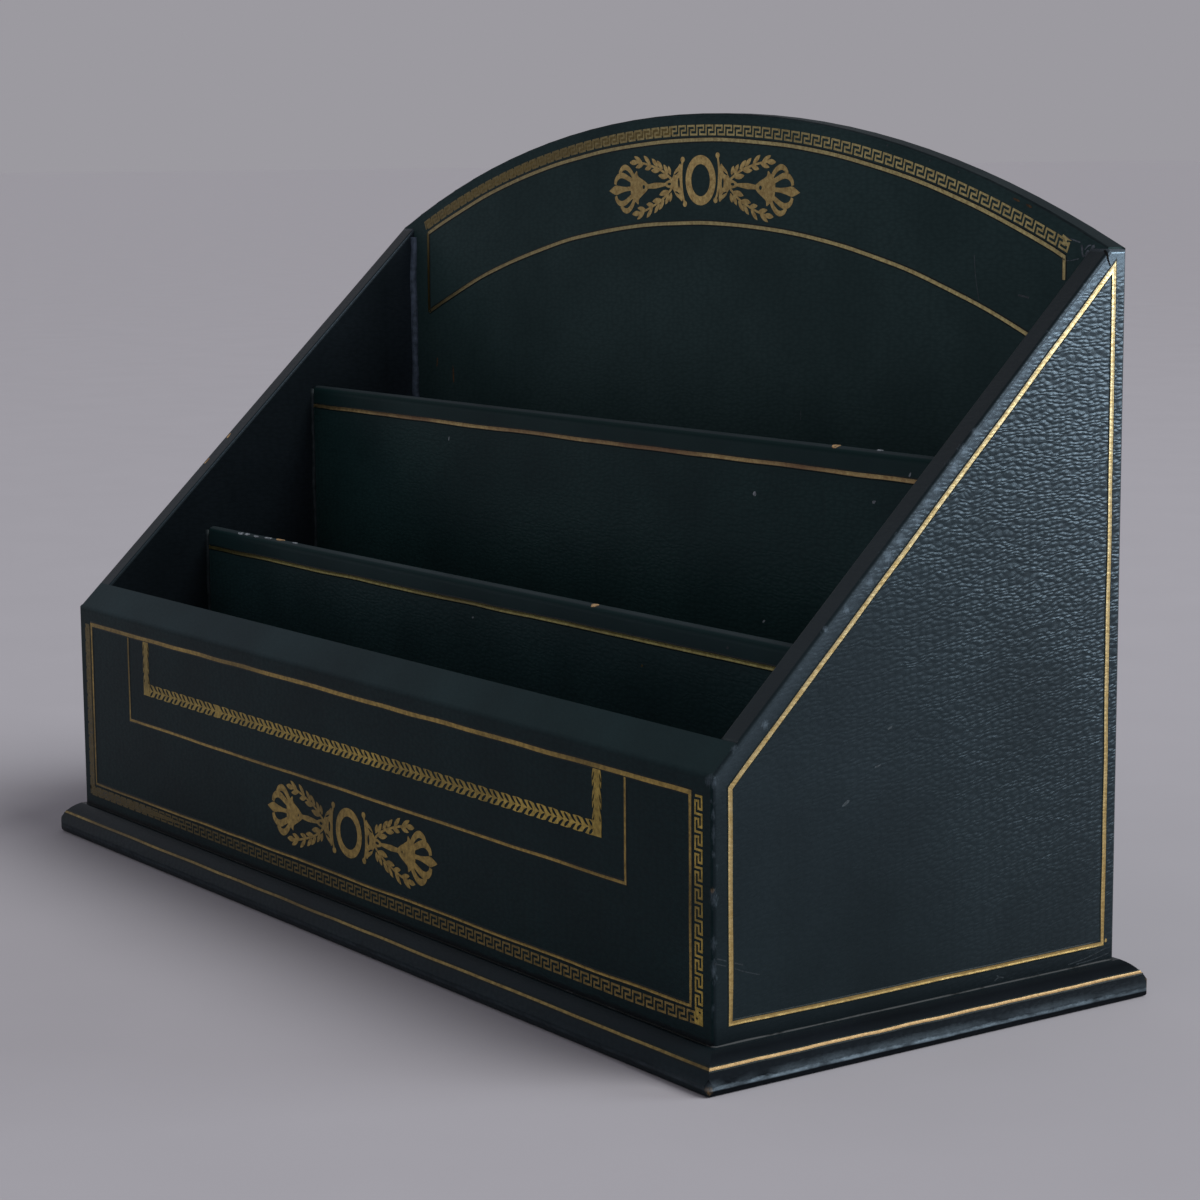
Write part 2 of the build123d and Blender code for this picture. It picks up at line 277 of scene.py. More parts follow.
def offsets(path, closed=False):
    """The mitred sideways direction at each point of a path."""
    n = len(path)
    result = []
    for i, p in enumerate(path):
        before = path[i - 1] if i or closed else None
        after = path[(i + 1) % n] if i < n - 1 or closed else None
        d1 = (p - before).normalized() if before is not None else (after - p).normalized()
        d2 = (after - p).normalized() if after is not None else d1
        n1, n2 = Vector((-d1.y, d1.x)), Vector((-d2.y, d2.x))
        result.append((n1 + n2) / max(1.0 + n1.dot(n2), 0.3))
    return result


def along_list(values, t):
    """The value a share t of the way through a list."""
    x = t * (len(values) - 1)
    i = min(int(x), len(values) - 2)
    return values[i] + (values[i + 1] - values[i]) * (x - i)


def band(path, widths):
    """The outline of a stroke whose width may change on the way."""
    if not isinstance(widths, (list, tuple)):
        widths = [widths] * len(path)
    if len(widths) != len(path):
        count = len(path) - 1
        widths = [along_list(widths, i / count) for i in range(len(path))]
    side = offsets(path)
    left = [p + s * w / 2 for p, s, w in zip(path, side, widths)]
    right = [p - s * w / 2 for p, s, w in zip(path, side, widths)]
    return left + right[::-1]


def disc(x, y, rx, ry=None, count=24):
    ry = ry or rx
    return [Vector((x + rx * math.cos(a), y + ry * math.sin(a)))
            for a in (2 * math.pi * i / count for i in range(count))]


# Down a leaf: share of its length and share of its width
LEAF_SIDE = ((0.12, 0.45), (0.3, 0.85), (0.5, 1.0), (0.7, 0.85), (0.88, 0.45))


def leaf(base, tip, width):
    """A pointed leaf from base to tip."""
    base, tip = Vector(base), Vector(tip)
    along = tip - base
    side = Vector((-along.y, along.x)).normalized()
    left = [base + along * t + side * width / 2 * s for t, s in LEAF_SIDE]
    right = [base + along * t - side * width / 2 * s for t, s in LEAF_SIDE]
    return [base] + left + [tip] + right[::-1]


def fret_path(count, pitch, height):
    """The key pattern's one unbroken line."""
    far, near, middle = 0.72 * pitch, 0.3 * pitch, 0.5 * height
    path = []
    for i in range(count):
        u = i * pitch
        path += [(u, 0), (u, height), (u + far, height), (u + far, middle), (u + near, middle), (u + near, 0)]
    path += [(count * pitch, 0), (count * pitch, height)]
    return [Vector(p) for p in path]


def ribbon(batch, path, width, place, top=0.05):
    """A mitred strip with a closed rectangular section."""
    verts = []
    for p, s in zip(path, offsets(path)):
        a, b = p + s * width / 2, p - s * width / 2
        verts += [place(a.x, a.y, top), place(b.x, b.y, top), place(b.x, b.y, SUNK), place(a.x, a.y, SUNK)]
    batch.add(verts, tube_faces(len(path), 4))


GOLD_LINE = 0
LIP = 1
# Across a tooled line: share of the half width, extra width and height over the leather
LINE_SECTION = ((-1, -0.4, -0.02), (-1, -0.14, 0.09), (-1, 0, 0.10), (-0.5, 0, 0.045), (0, 0, 0.02),
                (0.5, 0, 0.045), (1, 0, 0.10), (1, 0.14, 0.09), (1, 0.4, -0.02))
GILT_STRIPS = range(2, 6)
LINE_STEP = 4.0


def add_line(batch, verts, closed=False):
    """A gilt strip between its lips, from sections that follow one another."""
    rows = len(LINE_SECTION)
    count = len(verts) // rows
    faces, mats = [], []
    for i in range(count if closed else count - 1):
        a, b = i * rows, (i + 1) % count * rows
        for j in range(rows - 1):
            faces.append([a + j, b + j, b + j + 1, a + j + 1])
            mats.append(GOLD_LINE if j in GILT_STRIPS else LIP)
    batch.add(verts, faces, mats)


def tooled_line(batch, points, width, place, wander, seed, closed=False, swell=None):
    """A gilt line pressed into leather, between two low lips that the tool raised."""
    pts = [Vector(p) for p in points]
    path = []
    for a, b in zip(pts, pts[1:] + pts[:1] if closed else pts[1:]):
        count = max(1, round((b - a).length / LINE_STEP))
        path += [a + (b - a) * i / count for i in range(count)]
    if not closed:
        path.append(pts[-1])
    fixed = {tuple(p) for p in pts}
    verts = []
    for p, s in zip(path, offsets(path, closed)):
        drift = noise.noise(Vector((p.x * 0.06, p.y * 0.06, seed * 7.3)))
        shift = 0.0 if tuple(p) in fixed else wander * drift
        w = width * (1 + 0.10 * noise.noise(Vector((p.x * 0.15, p.y * 0.15, seed * 3.1 + 40))))
        if swell:
            w *= swell(p)
        for share, extra, h in LINE_SECTION:
            q = p + s * (share * w / 2 + extra + shift)
            verts.append(place(q.x, q.y, h))
    add_line(batch, verts, closed)


# Materials, with colours written in 0 to 255, as they show on a screen

def srgb(r, g, b):
    return tuple(c / 255 / 12.92 if c <= 10 else ((c / 255 + 0.055) / 1.055)**2.4 for c in (r, g, b)) + (1.0,)


class Shade:
    """A node material being put together, with its pattern space in millimetres."""

    def __init__(self, name):
        self.mat = bpy.data.materials.new(name)
        self.mat.use_nodes = True
        self.tree = self.mat.node_tree
        self.shader = self.tree.nodes["Principled BSDF"]
        coords = self.node("TexCoord")
        self.place = self.scaled(coords.outputs["Object"], (1000.0, 1000.0, 1000.0))
        self.x, self.y, self.z = self.node("SeparateXYZ", {0: self.place}).outputs
        self.facing = self.node("SeparateXYZ", {0: coords.outputs["Normal"]}).outputs
        self.up = self.facing[2]

    def node(self, kind, inputs=(), **settings):
        n = self.tree.nodes.new("ShaderNode" + kind)
        for key, value in settings.items():
            setattr(n, key, value)
        for key, value in dict(inputs).items():
            self.feed(n.inputs[key], value)
        return n

    def feed(self, socket, value):
        if isinstance(value, bpy.types.NodeSocket):
            self.tree.links.new(value, socket)
        else:
            socket.default_value = srgb(*value) if socket.type == "RGBA" else value

    def set(self, **values):
        for key, value in values.items():
            self.feed(self.shader.inputs[key.replace("_", " ")], value)

    def scaled(self, vector, scale):
        return self.node("Mapping", {"Vector": vector, "Scale": scale}).outputs[0]

    def math(self, operation, *values):
        return self.node("Math", enumerate(values), operation=operation).outputs[0]

    def add(self, base, value, part=1.0):
        """The base, with a part of the value on top."""
        return self.math("MULTIPLY_ADD", value, part, base)

    def times(self, first, *others):
        for other in others:
            first = self.math("MULTIPLY", first, other)
        return first

    def most(self, first, *others):
        for other in others:
            first = self.math("MAXIMUM", first, other)
        return first

    def size(self, value):
        return self.math("ABSOLUTE", value)

    def span(self, value, low, high, to_low=0.0, to_high=1.0):
        return self.node("MapRange", {"Value": value, "From Min": low, "From Max": high, "To Min": to_low,
                                      "To Max": to_high}).outputs[0]

    def noise(self, vector, scale, detail=2.0, rough=0.5):
        return self.node("TexNoise", {"Vector": vector, "Scale": scale, "Detail": detail,
                                      "Roughness": rough}).outputs[0]

    def mix(self, share, a, b):
        return self.node("Mix", {0: share, 6: a, 7: b}, data_type="RGBA").outputs[2]

    def bump(self, height, strength, distance_mm):
        self.set(Normal=self.node("Bump", {"Height": height, "Strength": strength,
                                           "Distance": distance_mm * MM}).outputs[0])


# Where the leather is worn, and where highlights are painted on it

def past_side(s):
    """How far out a point lies from the case's sides."""
    return s.add(-HALF, s.size(s.x))


def below_slope(s):
    """How far a point lies below the line of the sloping edges."""
    return s.add(s.add(EDGE_FRONT, s.add(BACK, s.y), math.tan(SLOPE)), s.z, -1.0)


def corner_scuff_and_highlight(s):
    """Scuffs down the front corners of the case, pale partly as a painted highlight."""
    reach = s.add(past_side(s), s.add(FRONT, s.y, -1.0))
    patches = s.noise(s.scaled(s.place, (1.0, 1.0, 0.45)), 0.42, 4.0, 0.65)
    return s.times(s.span(reach, -1.5, -0.9), s.span(patches, 0.62, 0.74, 0.0, 0.4))


def rim_wear(s):
    """Rubbed places along the outer edge of the sloping rims."""
    reach = s.add(past_side(s), below_slope(s), -0.7)
    patches = s.noise(s.place, 0.6, 5.0, 0.7)
    return s.times(s.span(reach, -1.6, -1.0), s.span(patches, 0.62, 0.74, 0.0, 0.5))


def nose_highlight_and_rub(s):
    """The plinth's nose: a pale band of painted highlight and rubbing, strongest on the ends."""
    along = s.scaled(s.place, (0.35, 0.35, 1.0))
    off = s.add(s.z, s.add(NOSE_Z - 0.75, s.noise(along, 0.2, 2.0), 0.5), -1.0)
    ragged = s.add(off, s.noise(along, 1.7, 4.0, 0.7), 1.2)
    above = s.span(off, -0.75, -0.4)
    broken = s.span(s.noise(along, 0.5, 3.0, 0.6), 0.36, 0.62, 0.3, 1.0)
    line = s.times(s.span(ragged, 1.15, 0.55), above, broken)
    broad_sheen = s.times(s.span(ragged, 2.4, 0.8, 0.0, 0.3), above, s.span(s.noise(along, 0.16, 2.0), 0.42, 0.58))
    ends = s.span(s.size(s.facing[0]), 0.3, 0.8, 0.12, 1.0)
    return s.times(s.most(line, broad_sheen), ends, s.span(s.y, 60.0, 20.0, 0.5, 1.0))


def spots(s, places, strength=0.65):
    """Soft ragged scuffs. Each place is x, y, z, its reach across and its reach up."""
    ragged = s.noise(s.scaled(s.place, (1.0, 1.0, 0.35)), 2.6, 4.0, 0.7)
    paled = []
    for x, y, z, across, up in places:
        off = s.node("VectorMath", {0: s.place, 1: (x, y, z)}, operation="SUBTRACT").outputs[0]
        off = s.scaled(off, (1 / across, 1 / across, 1 / up))
        far = s.node("VectorMath", {0: off}, operation="LENGTH").outputs["Value"]
        paled.append(s.span(s.add(far, ragged, 2.6), 2.3, 1.1, 0.0, strength))
    return s.most(*paled)


# Down the front right corner: height, reach across and reach up
CORNER_KNOCKS = ((63.0, 1.1, 1.3), (56.4, 0.5, 1.3), (52.5, 0.45, 2.2), (48.3, 0.5, 0.9), (39.1, 1.1, 2.2),
                 (29.7, 0.8, 1.7), (24.4, 0.8, 3.0))
# Along the right sloping edge, knocks that are partly painted highlights: distance from the middle to the
# back, height and reach
EDGE_KNOCKS_AND_HIGHLIGHTS = ((7.2, 121.9, 1.8), (10.0, 125.2, 1.5), (13.2, 128.9, 1.1), (2.4, 117.6, 1.3),
               (-0.3, 114.9, 1.1), (-2.9, 111.6, 1.3), (-7.6, 107.8, 1.5), (-10.6, 104.7, 1.6),
               (-15.6, 99.9, 1.2), (-21.8, 94.6, 1.0), (-27.2, 91.2, 0.8), (-42.9, 73.2, 1.0))


def knocks_and_highlights(s):
    """Knocks down the front right corner and along the edge above it, those along the edge partly painted
    highlights.
    """
    down = [(HALF - 0.2, FRONT + 0.2, z, across, up) for z, across, up in CORNER_KNOCKS]
    soft = [(HALF - 1.1, FRONT + 0.2, 63.3, 1.6, 1.5), (HALF - 0.4, FRONT + 5.6, 69.6, 0.9, 1.2)]
    along = [(HALF - 0.2, y, z, reach, reach) for y, z, reach in EDGE_KNOCKS_AND_HIGHLIGHTS]
    return s.most(spots(s, down + soft), spots(s, along, 1.0))


def bare_corner(s):
    """Where the dye is knocked off the front right corner."""
    return spots(s, [(HALF - 0.3, FRONT - 0.1, 40.9, 0.6, 0.7)])


def bare_nose(s):
    """Where the dye is knocked off the plinth's right corners."""
    out = NOSE_OUT - 0.4
    return spots(s, [(HALF + out, FRONT - out, 1.6, 1.1, 1.1), (HALF + out, BACK + out, 3.0, 0.6, 2.6)])


def edge_rub_and_sheen(s):
    """Rubbing and painted sheen along the side's sloping edge, most towards the top, and a painted highlight
    round its upper corner.
    """
    rubbed = s.times(s.span(below_slope(s), 6.5, 1.5), s.span(s.y, -50.0, 40.0, 0.25, 1.0))
    rubbed = s.times(s.most(rubbed, s.span(s.z, 157.0, 163.0)), s.span(s.size(s.facing[0]), 0.6, 0.9))
    return s.most(rubbed, s.times(s.span(s.z, 164.8, 165.5), s.span(s.y, 50.4, 51.4)))


# Leather

SHEEN = (200, 232, 255)
# Pale colours for rubbed places that are partly painted highlights
PALE_RUB_AND_HIGHLIGHT = ((44, 56, 63), (112, 126, 137))
LEATHER_CORE = ((100, 76, 50), (178, 150, 108))


def long_grain(s, tilt):
    """Short wavy ridges about a millimetre apart, each a small cushion, and the fine pores on them."""
    slant = s.times(s.y, s.span(s.z, 20.0, 130.0, -tilt, -0.1 * tilt))
    level = s.add(s.z, slant)
    x, y = s.times(s.x, 0.42), s.times(s.y, 0.42)
    squeezed = s.node("CombineXYZ", {0: x, 1: y, 2: level}).outputs[0]
    drift = s.add(level, s.noise(squeezed, 0.35, 1.0), 2.2)
    bent = s.node("CombineXYZ", {0: s.add(x, y), 1: drift}).outputs[0]
    cells = s.node("TexVoronoi", {"Vector": bent, "Scale": 1.15, "Smoothness": 0.25, "Randomness": 0.75},
                   feature="SMOOTH_F1", voronoi_dimensions="2D").outputs["Distance"]
    return s.span(cells, 0.7, 0.05), s.noise(squeezed, 4.0, 3.0, 0.6)


class Leather(Shade):
    """Dyed long-grain goatskin: short wavy ridges, flatter on the rims and where it is rubbed."""

    def __init__(self, name, dark, light, grain, rough, level, tilt=0.0, even=1.0, flatter=None):
        super().__init__(name)
        ridges, self.fine = long_grain(self, tilt)
        self.broad = self.noise(self.place, 0.035, 3.0)
        self.climb = self.add(self.times(self.y, 1 / DEPTH), self.z, 1 / CORNER)
        share = self.times(self.span(self.size(self.up), 0.75, 0.25, 0.2, 1.0),
                           self.span(self.climb, 0.0, 0.85, even, 1.0),
                           self.span(self.broad, 0.35, 0.6, 0.6, 1.0))
        if flatter:
            share = self.times(share, flatter(self))
        self.bump(self.times(self.add(ridges, self.fine, 0.2), share), 1.0, 0.12 * grain)
        self.tone = self.add(self.span(self.broad, 0.3, 0.7, 0.0, 0.5), self.times(ridges, share), 0.5)
        self.colour = self.mix(self.tone, dark, light)
        self.shine = self.span(self.fine, 0.3, 0.7, *rough)
        self.level = level

    def tint(self, share, colour):
        self.colour = self.mix(share, self.colour, colour)

    def grain_tones(self, dark, light):
        """Another pair of colours over the same grain, for dye and for painted light and shade."""
        return self.mix(self.tone, dark, light)

    def wear(self, paled, polish=PALE_RUB_AND_HIGHLIGHT):
        """Tints pale and a little rougher, for rubbed places and for painted highlights."""
        self.tint(paled, self.mix(self.fine, *polish))
        self.shine = self.add(self.shine, paled, 0.12)

    def bare(self, where):
        """Lays the tan core bare."""
        self.tint(where, self.mix(self.fine, *LEATHER_CORE))

    def done(self):
        self.set(Base_Color=self.colour, Roughness=self.shine, Specular_IOR_Level=self.level,
                 Specular_Tint=SHEEN)
        return self.mat


def side_flatness(s):
    return s.times(s.span(s.z, 163.5, 158.0, 0.2, 1.0), s.span(edge_rub_and_sheen(s), 0.0, 1.0, 1.0, 0.25))


def side_leather():
    """The glossiest leather, most towards its upper back corner, with painted sheen and rubbing along its
    edge, and painted shade on its rim and at its foot.
    """
    s = Leather("side_leather", (13, 21, 22), (27, 37, 40), 0.85, (0.26, 0.38), 0.24, tilt=0.25, even=0.22,
                flatter=side_flatness)
    rubbed = edge_rub_and_sheen(s)
    # Painted shade: darker towards the foot.
    s.tint(s.span(s.z, 13.5, 9.5, 0.0, 0.6), (11, 17, 20))
    # Painted shade: the up-facing rim is darker, more so towards the top.
    s.tint(s.times(s.span(s.up, 0.3, 0.6), s.span(s.z, 100.0, 150.0, 0.0, 0.5)), (7, 16, 17))
    # Painted sheen with rubbing: pale along the sloping edge and round the upper corner.
    s.tint(rubbed, (60, 69, 75))
    s.shine = s.add(s.shine, rubbed, -0.06)
    level = s.span(s.up, 0.3, 0.6, s.level, 0.04)
    level = s.add(level, s.span(s.climb, 0.1, 1.4), 0.4)
    level = s.add(level, rubbed, 0.4)
    level = s.add(level, s.times(s.span(s.z, 25.0, 60.0), s.span(s.y, 25.0, -15.0, 0.0, 0.1)))
    level = s.times(s.span(s.z, 9.0, 13.5, 0.4, 1.0), level)
    s.level = s.span(s.up, 0.3, 0.6, level, s.span(s.z, 65.0, 110.0, 0.26, 0.24))
    # Scuffs, rubbed places and knocks, partly painted highlights.
    s.wear(s.most(corner_scuff_and_highlight(s), rim_wear(s), knocks_and_highlights(s)))
    s.bare(bare_corner(s))
    return s.done()


def front_leather():
    """Greener, with a rim painted lighter as light from above that greys towards the left, and a painted
    shadow line at the foot.
    """
    s = Leather("front_leather", (10, 25, 26), (19, 40, 41), 0.2, (0.42, 0.52), 0.12)
    # Painted light: the up-facing rim is lighter, as if lit from above; it greys towards the left.
    rim = s.mix(s.span(s.x, 80.0, -60.0), s.grain_tones((15, 32, 33), (28, 49, 51)),
                s.grain_tones((24, 38, 41), (37, 55, 59)))
    s.tint(s.span(s.up, 0.2, 0.5), rim)
    # Painted shadow: a dark ragged line along the foot.
    ragged = s.add(s.z, s.noise(s.scaled(s.place, (0.4, 0.4, 1.0)), 0.6, 3.0), 1.2)
    s.tint(s.span(ragged, 10.3, 9.7), (9, 14, 15))
    # Scuffs and knocks, partly painted highlights.
    s.wear(s.most(corner_scuff_and_highlight(s), knocks_and_highlights(s)))
    s.bare(bare_corner(s))
    return s.done()


def back_leather():
    """Faded, with its up-facing rim painted darker as shade."""
    s = Leather("back_leather", (38, 55, 55), (51, 70, 70), 0.3, (0.42, 0.52), 0.05)
    s.level = s.span(s.up, 0.3, 0.6, s.level, 0.02)
    # Painted shade: the up-facing rim is darker.
    s.tint(s.span(s.up, 0.2, 0.5), s.grain_tones((24, 32, 34), (41, 49, 51)))
    return s.done()


def plinth_leather():
    """Darker and duller on the ends, with a pale band of painted highlight and rubbing along its nose."""
    s = Leather("plinth_leather", (13, 22, 25), (23, 36, 40), 0.35, (0.32, 0.44), 0.16)
    ends = s.span(s.size(s.facing[0]), 0.2, 0.6)
    s.level = s.span(s.size(s.facing[0]), 0.2, 0.6, s.level, 0.03)
    s.tint(ends, s.grain_tones((10, 13, 16), (19, 23, 28)))
    # Painted highlight with rubbing: a pale blue-grey band along the nose.
    s.wear(nose_highlight_and_rub(s), ((78, 92, 100), (150, 168, 180)))
    s.bare(bare_nose(s))
    return s.done()


def lining_leather():
    """Paler towards the back, where the light reached it."""
    s = Leather("lining_leather", (12, 17, 20), (20, 26, 30), 0.15, (0.45, 0.56), 0.1)
    s.tint(s.span(s.y, -25.0, 42.0), s.grain_tones((24, 31, 35), (35, 43, 49)))
    s.tint(s.span(s.y, 41.0, 50.0), s.grain_tones((36, 44, 51), (51, 61, 68)))
    return s.done()


def divider_leather(name, crest, dark, light):
    """Flat above its gilt line, with a duller crest painted darker as shade and a painted highlight along its
    top.
    """
    flat = crest - 5.8
    s = Leather(f"{name}_divider_leather", dark, light, 0.4, (0.38, 0.5), 0.12,
                flatter=lambda s: s.span(s.z, flat, flat - 3.0, 0.12, 1.0))
    # Painted shade: the up-facing crest is darker.
    s.tint(s.span(s.up, 0.1, 0.4), dark)
    # Painted highlight: a paler line along the top.
    s.tint(s.span(s.up, 0.7, 0.84), s.mix(s.broad, (32, 40, 43), (56, 66, 69)))
    s.level = s.span(s.up, 0.1, 0.4, s.level, 0.03)
    return s.done()


# Gold and the rest

def gilt(name, bright, dull, tarnish, wear, stain=(92, 78, 46), rough=(0.3, 0.5), grain=0.0, fade=None,
         above=None):
    """Gold leaf on leather: mottled, tarnished in broad places and rubbed through to the dye in spots."""
    s = Shade(name)
    patch = s.noise(s.place, 0.9, 5.0, 0.65)
    broad = s.noise(s.scaled(s.place, (1.0, 1.0, 1.6)), 0.022, 2.0)
    speck = s.noise(s.place, 5.5, 3.0)
    mottle = s.span(patch, 0.33, 0.66)
    tone = s.mix(mottle, dull, bright)
    # Painted highlight: given above, the gold pales towards the top.
    if above:
        tone = s.mix(s.span(s.z, 15.0, 150.0), tone, s.mix(mottle, bright, above))
    tarnished = s.span(broad, 0.52, 0.38, 0.0, tarnish)
    if fade:
        share, start, end = fade
        tarnished = s.most(tarnished, s.span(s.x, start, end, 0.0, share))
    tone = s.mix(tarnished, tone, stain)
    gone = s.span(s.add(s.add(speck, broad, -0.5), patch, 0.7), 0.92 - wear, 1.06 - wear)
    s.set(Base_Color=s.mix(gone, tone, (38, 40, 32)), Metallic=s.add(0.92, gone, -0.8),
          Roughness=s.span(speck, 0.3, 0.7, *rough))
    s.bump(s.add(speck, long_grain(s, 0.0)[0], grain) if grain else speck, 0.4, 0.04)
    return s.mat


def grained(name, dark, light, scale, rough, stretch=(1.0, 1.0, 1.0), bump_mm=0.05, metallic=0.0, level=0.3):
    """A noise-coloured finish for wood, felt, steel, seams and bare leather."""
    s = Shade(name)
    grain = s.noise(s.scaled(s.place, stretch), scale, 6.0, 0.62)
    s.set(Base_Color=s.mix(s.span(grain, 0.35, 0.65), dark, light), Roughness=rough, Metallic=metallic,
          Specular_IOR_Level=level)
    s.bump(grain, 0.6, bump_mm)
    return s.mat


def seam_leather():
    """The turned edge along the foot: dark, with the core showing where it is rubbed, most on the ends."""
    s = Shade("seam_leather")
    patches = s.noise(s.scaled(s.place, (0.3, 0.3, 1.0)), 0.55, 4.0, 0.7)
    ends = s.span(s.size(s.x), HALF - 1.0, HALF, -0.04, 0.2)
    pale = s.span(s.add(patches, ends), 0.56, 0.68)
    s.set(Base_Color=s.mix(pale, (16, 21, 22), (64, 67, 68)), Roughness=0.6, Specular_IOR_Level=0.15)
    s.bump(patches, 0.5, 0.1)
    return s.mat


LIP_LEATHER = grained("lip_leather", (12, 20, 19), (24, 36, 36), 1.2, 0.42, level=0.15)
# GOLD, on the sides, is a lit copy: brighter than the front's golds and paler upwards, a painted highlight.
GOLD = gilt("gold_leaf", (200, 172, 112), (172, 144, 86), 0.0, 0.0, rough=(0.28, 0.42), grain=1.5,
            above=(230, 216, 174))
# GOLD_DULL and GOLD_FRONT, on the front, are darker copies: tarnish, and painted shade.
GOLD_DULL = gilt("gold_leaf_rubbed_and_shaded", (212, 184, 96), (150, 128, 62), 0.6, 0.1, (96, 84, 50),
                 fade=(0.4, 40.0, -110.0))
GOLD_FRONT = gilt("gold_leaf_front", (188, 160, 90), (132, 112, 62), 0.6, 0.1, (86, 74, 46))
GOLD_FADED = gilt("gold_leaf_faded", (168, 144, 88), (112, 95, 54), 0.8, 0.12, (92, 81, 46),
                  fade=(0.9, 110.0, -60.0))
GOLD_PALE = gilt("gold_leaf_pale", (223, 198, 130), (165, 137, 86), 0.3, 0.06)
GOLD_LINE_PALE = gilt("gold_leaf_line", (211, 198, 140), (156, 140, 96), 0.3, 0.06, (116, 102, 76),
                      fade=(0.5, 60.0, -90.0))
GOLD_ARCH = gilt("gold_leaf_arch", (208, 194, 136), (146, 129, 84), 0.4, 0.1, fade=(0.75, 5.0, -60.0))
GOLD_RUDDY = gilt("gold_leaf_ruddy", (194, 174, 120), (148, 120, 80), 0.8, 0.06, (114, 86, 68))
GOLD_OLIVE = gilt("gold_leaf_olive", (176, 170, 108), (132, 120, 72), 0.7, 0.06, (100, 88, 60))
GOLD_PLINTH = gilt("gold_leaf_plinth", (166, 146, 90), (118, 100, 62), 0.6, 0.1, (80, 68, 46))
GOLD_ENDS = gilt("gold_leaf_plinth_ends", (150, 126, 90), (126, 102, 68), 0.2, 0.0)
GOLD_SMEAR = gilt("gold_leaf_smeared", (136, 118, 66), (96, 83, 46), 0.4, 0.3, (84, 74, 42))
SCUFF = grained("scuffed_leather", (84, 92, 98), (160, 168, 174), 1.1, 0.55)
SCRATCH = grained("scratched_leather", (30, 39, 43), (68, 78, 84), 1.4, 0.5)
FAINT_SCRATCH = grained("faintly_scratched_leather", (22, 30, 34), (50, 58, 63), 1.4, 0.5, level=0.15)
BARE = grained("bare_leather", (128, 98, 66), (192, 162, 118), 0.8, 0.75)
TURNED_EDGE = grained("turned_edge", (26, 34, 36), (48, 56, 59), 0.5, 0.5, level=0.1)
CRACK = grained("crack_dark", (6, 8, 8), (14, 17, 17), 1.0, 0.8, level=0.1)
PATCH_EDGE = grained("patch_edge", (46, 54, 60), (104, 114, 122), 1.2, 0.5, level=0.2)
STROKE = grained("brown_stroke", (52, 40, 30), (98, 74, 50), 1.2, 0.6, level=0.1)
SEAM = seam_leather()
BACK_SEAM = grained("back_seam", (58, 70, 80), (96, 110, 128), 0.5, 0.5, level=0.15)

SLOT_FINISH = {
    "case_wood": grained("case_wood", (150, 112, 72), (196, 158, 112), 0.35, 0.62, (0.08, 1.0, 1.0)),
    "cover_leather": back_leather(),
    "lining_leather": lining_leather(),
    "base_felt": grained("base_felt", (22, 40, 28), (46, 70, 50), 1.6, 0.95, bump_mm=0.25, level=0.1),
    "brad_steel": grained("brad_steel", (104, 100, 96), (150, 146, 140), 2.0, 0.42, metallic=1.0)}
NODE_FINISH = {"front_cover": front_leather(), "plinth_cover": plinth_leather()}
NODE_FINISH["side_cover_right"] = NODE_FINISH["side_cover_left"] = side_leather()
DIVIDER_DYES = (((24, 42, 43), (38, 60, 61)), ((21, 40, 40), (34, 57, 56)))
for (part_name, _, crest), dyes in zip(DIVIDERS, DIVIDER_DYES):
    NODE_FINISH[f"{part_name}_divider_cover"] = divider_leather(part_name, crest, *dyes)
for part in frame["record"]["subparts"]:
    obj = frame["nodes"][part["node"]]
    obj.data.materials.clear()
    obj.data.materials.append(NODE_FINISH.get(part["node"], SLOT_FINISH[part["material_slot"]]))


# Gilt ornament: ring, bowed bars, tulips, palmettes and laurel

# Leaves of the laurel sprig: base, tip and width
SPRIG_LEAVES = (((12.6, 2.2), (13.4, 4.6), 1.3), ((13.6, 2.6), (15.4, 5.1), 1.35),
                ((15.8, 3.9), (18.3, 6.3), 1.3), ((17.9, 4.7), (20.4, 7.0), 1.25),
                ((21.0, 5.6), (23.9, 8.0), 1.25), ((24.6, 6.3), (28.1, 8.15), 1.2),
                ((13.8, 1.7), (17.9, 2.5), 1.4), ((17.2, 3.6), (21.0, 4.0), 1.25),
                ((20.5, 4.9), (23.7, 4.5), 1.2), ((24.0, 5.9), (27.7, 5.2), 1.2),
                ((26.4, 6.5), (30.2, 6.7), 1.4))


def sprig():
    """A laurel sprig that curves away from the axis."""
    spine = spline([(12.4, 1.2), (14.5, 2.6), (17, 3.9), (20, 4.9), (23.5, 5.9), (27, 6.5), (29.6, 6.7)], 4)
    return [band(spine, [0.7, 0.6, 0.5])] + [leaf(base, tip, width) for base, tip, width in SPRIG_LEAVES]


def mirrored_pair(shape):
    return [shape, [Vector((p.x, -p.y)) for p in reversed(shape)]]


def symmetric(upper):
    """A closed smooth outline from its upper half."""
    return spline(upper + [(x, -y) for x, y in reversed(upper)], 4, closed=True)


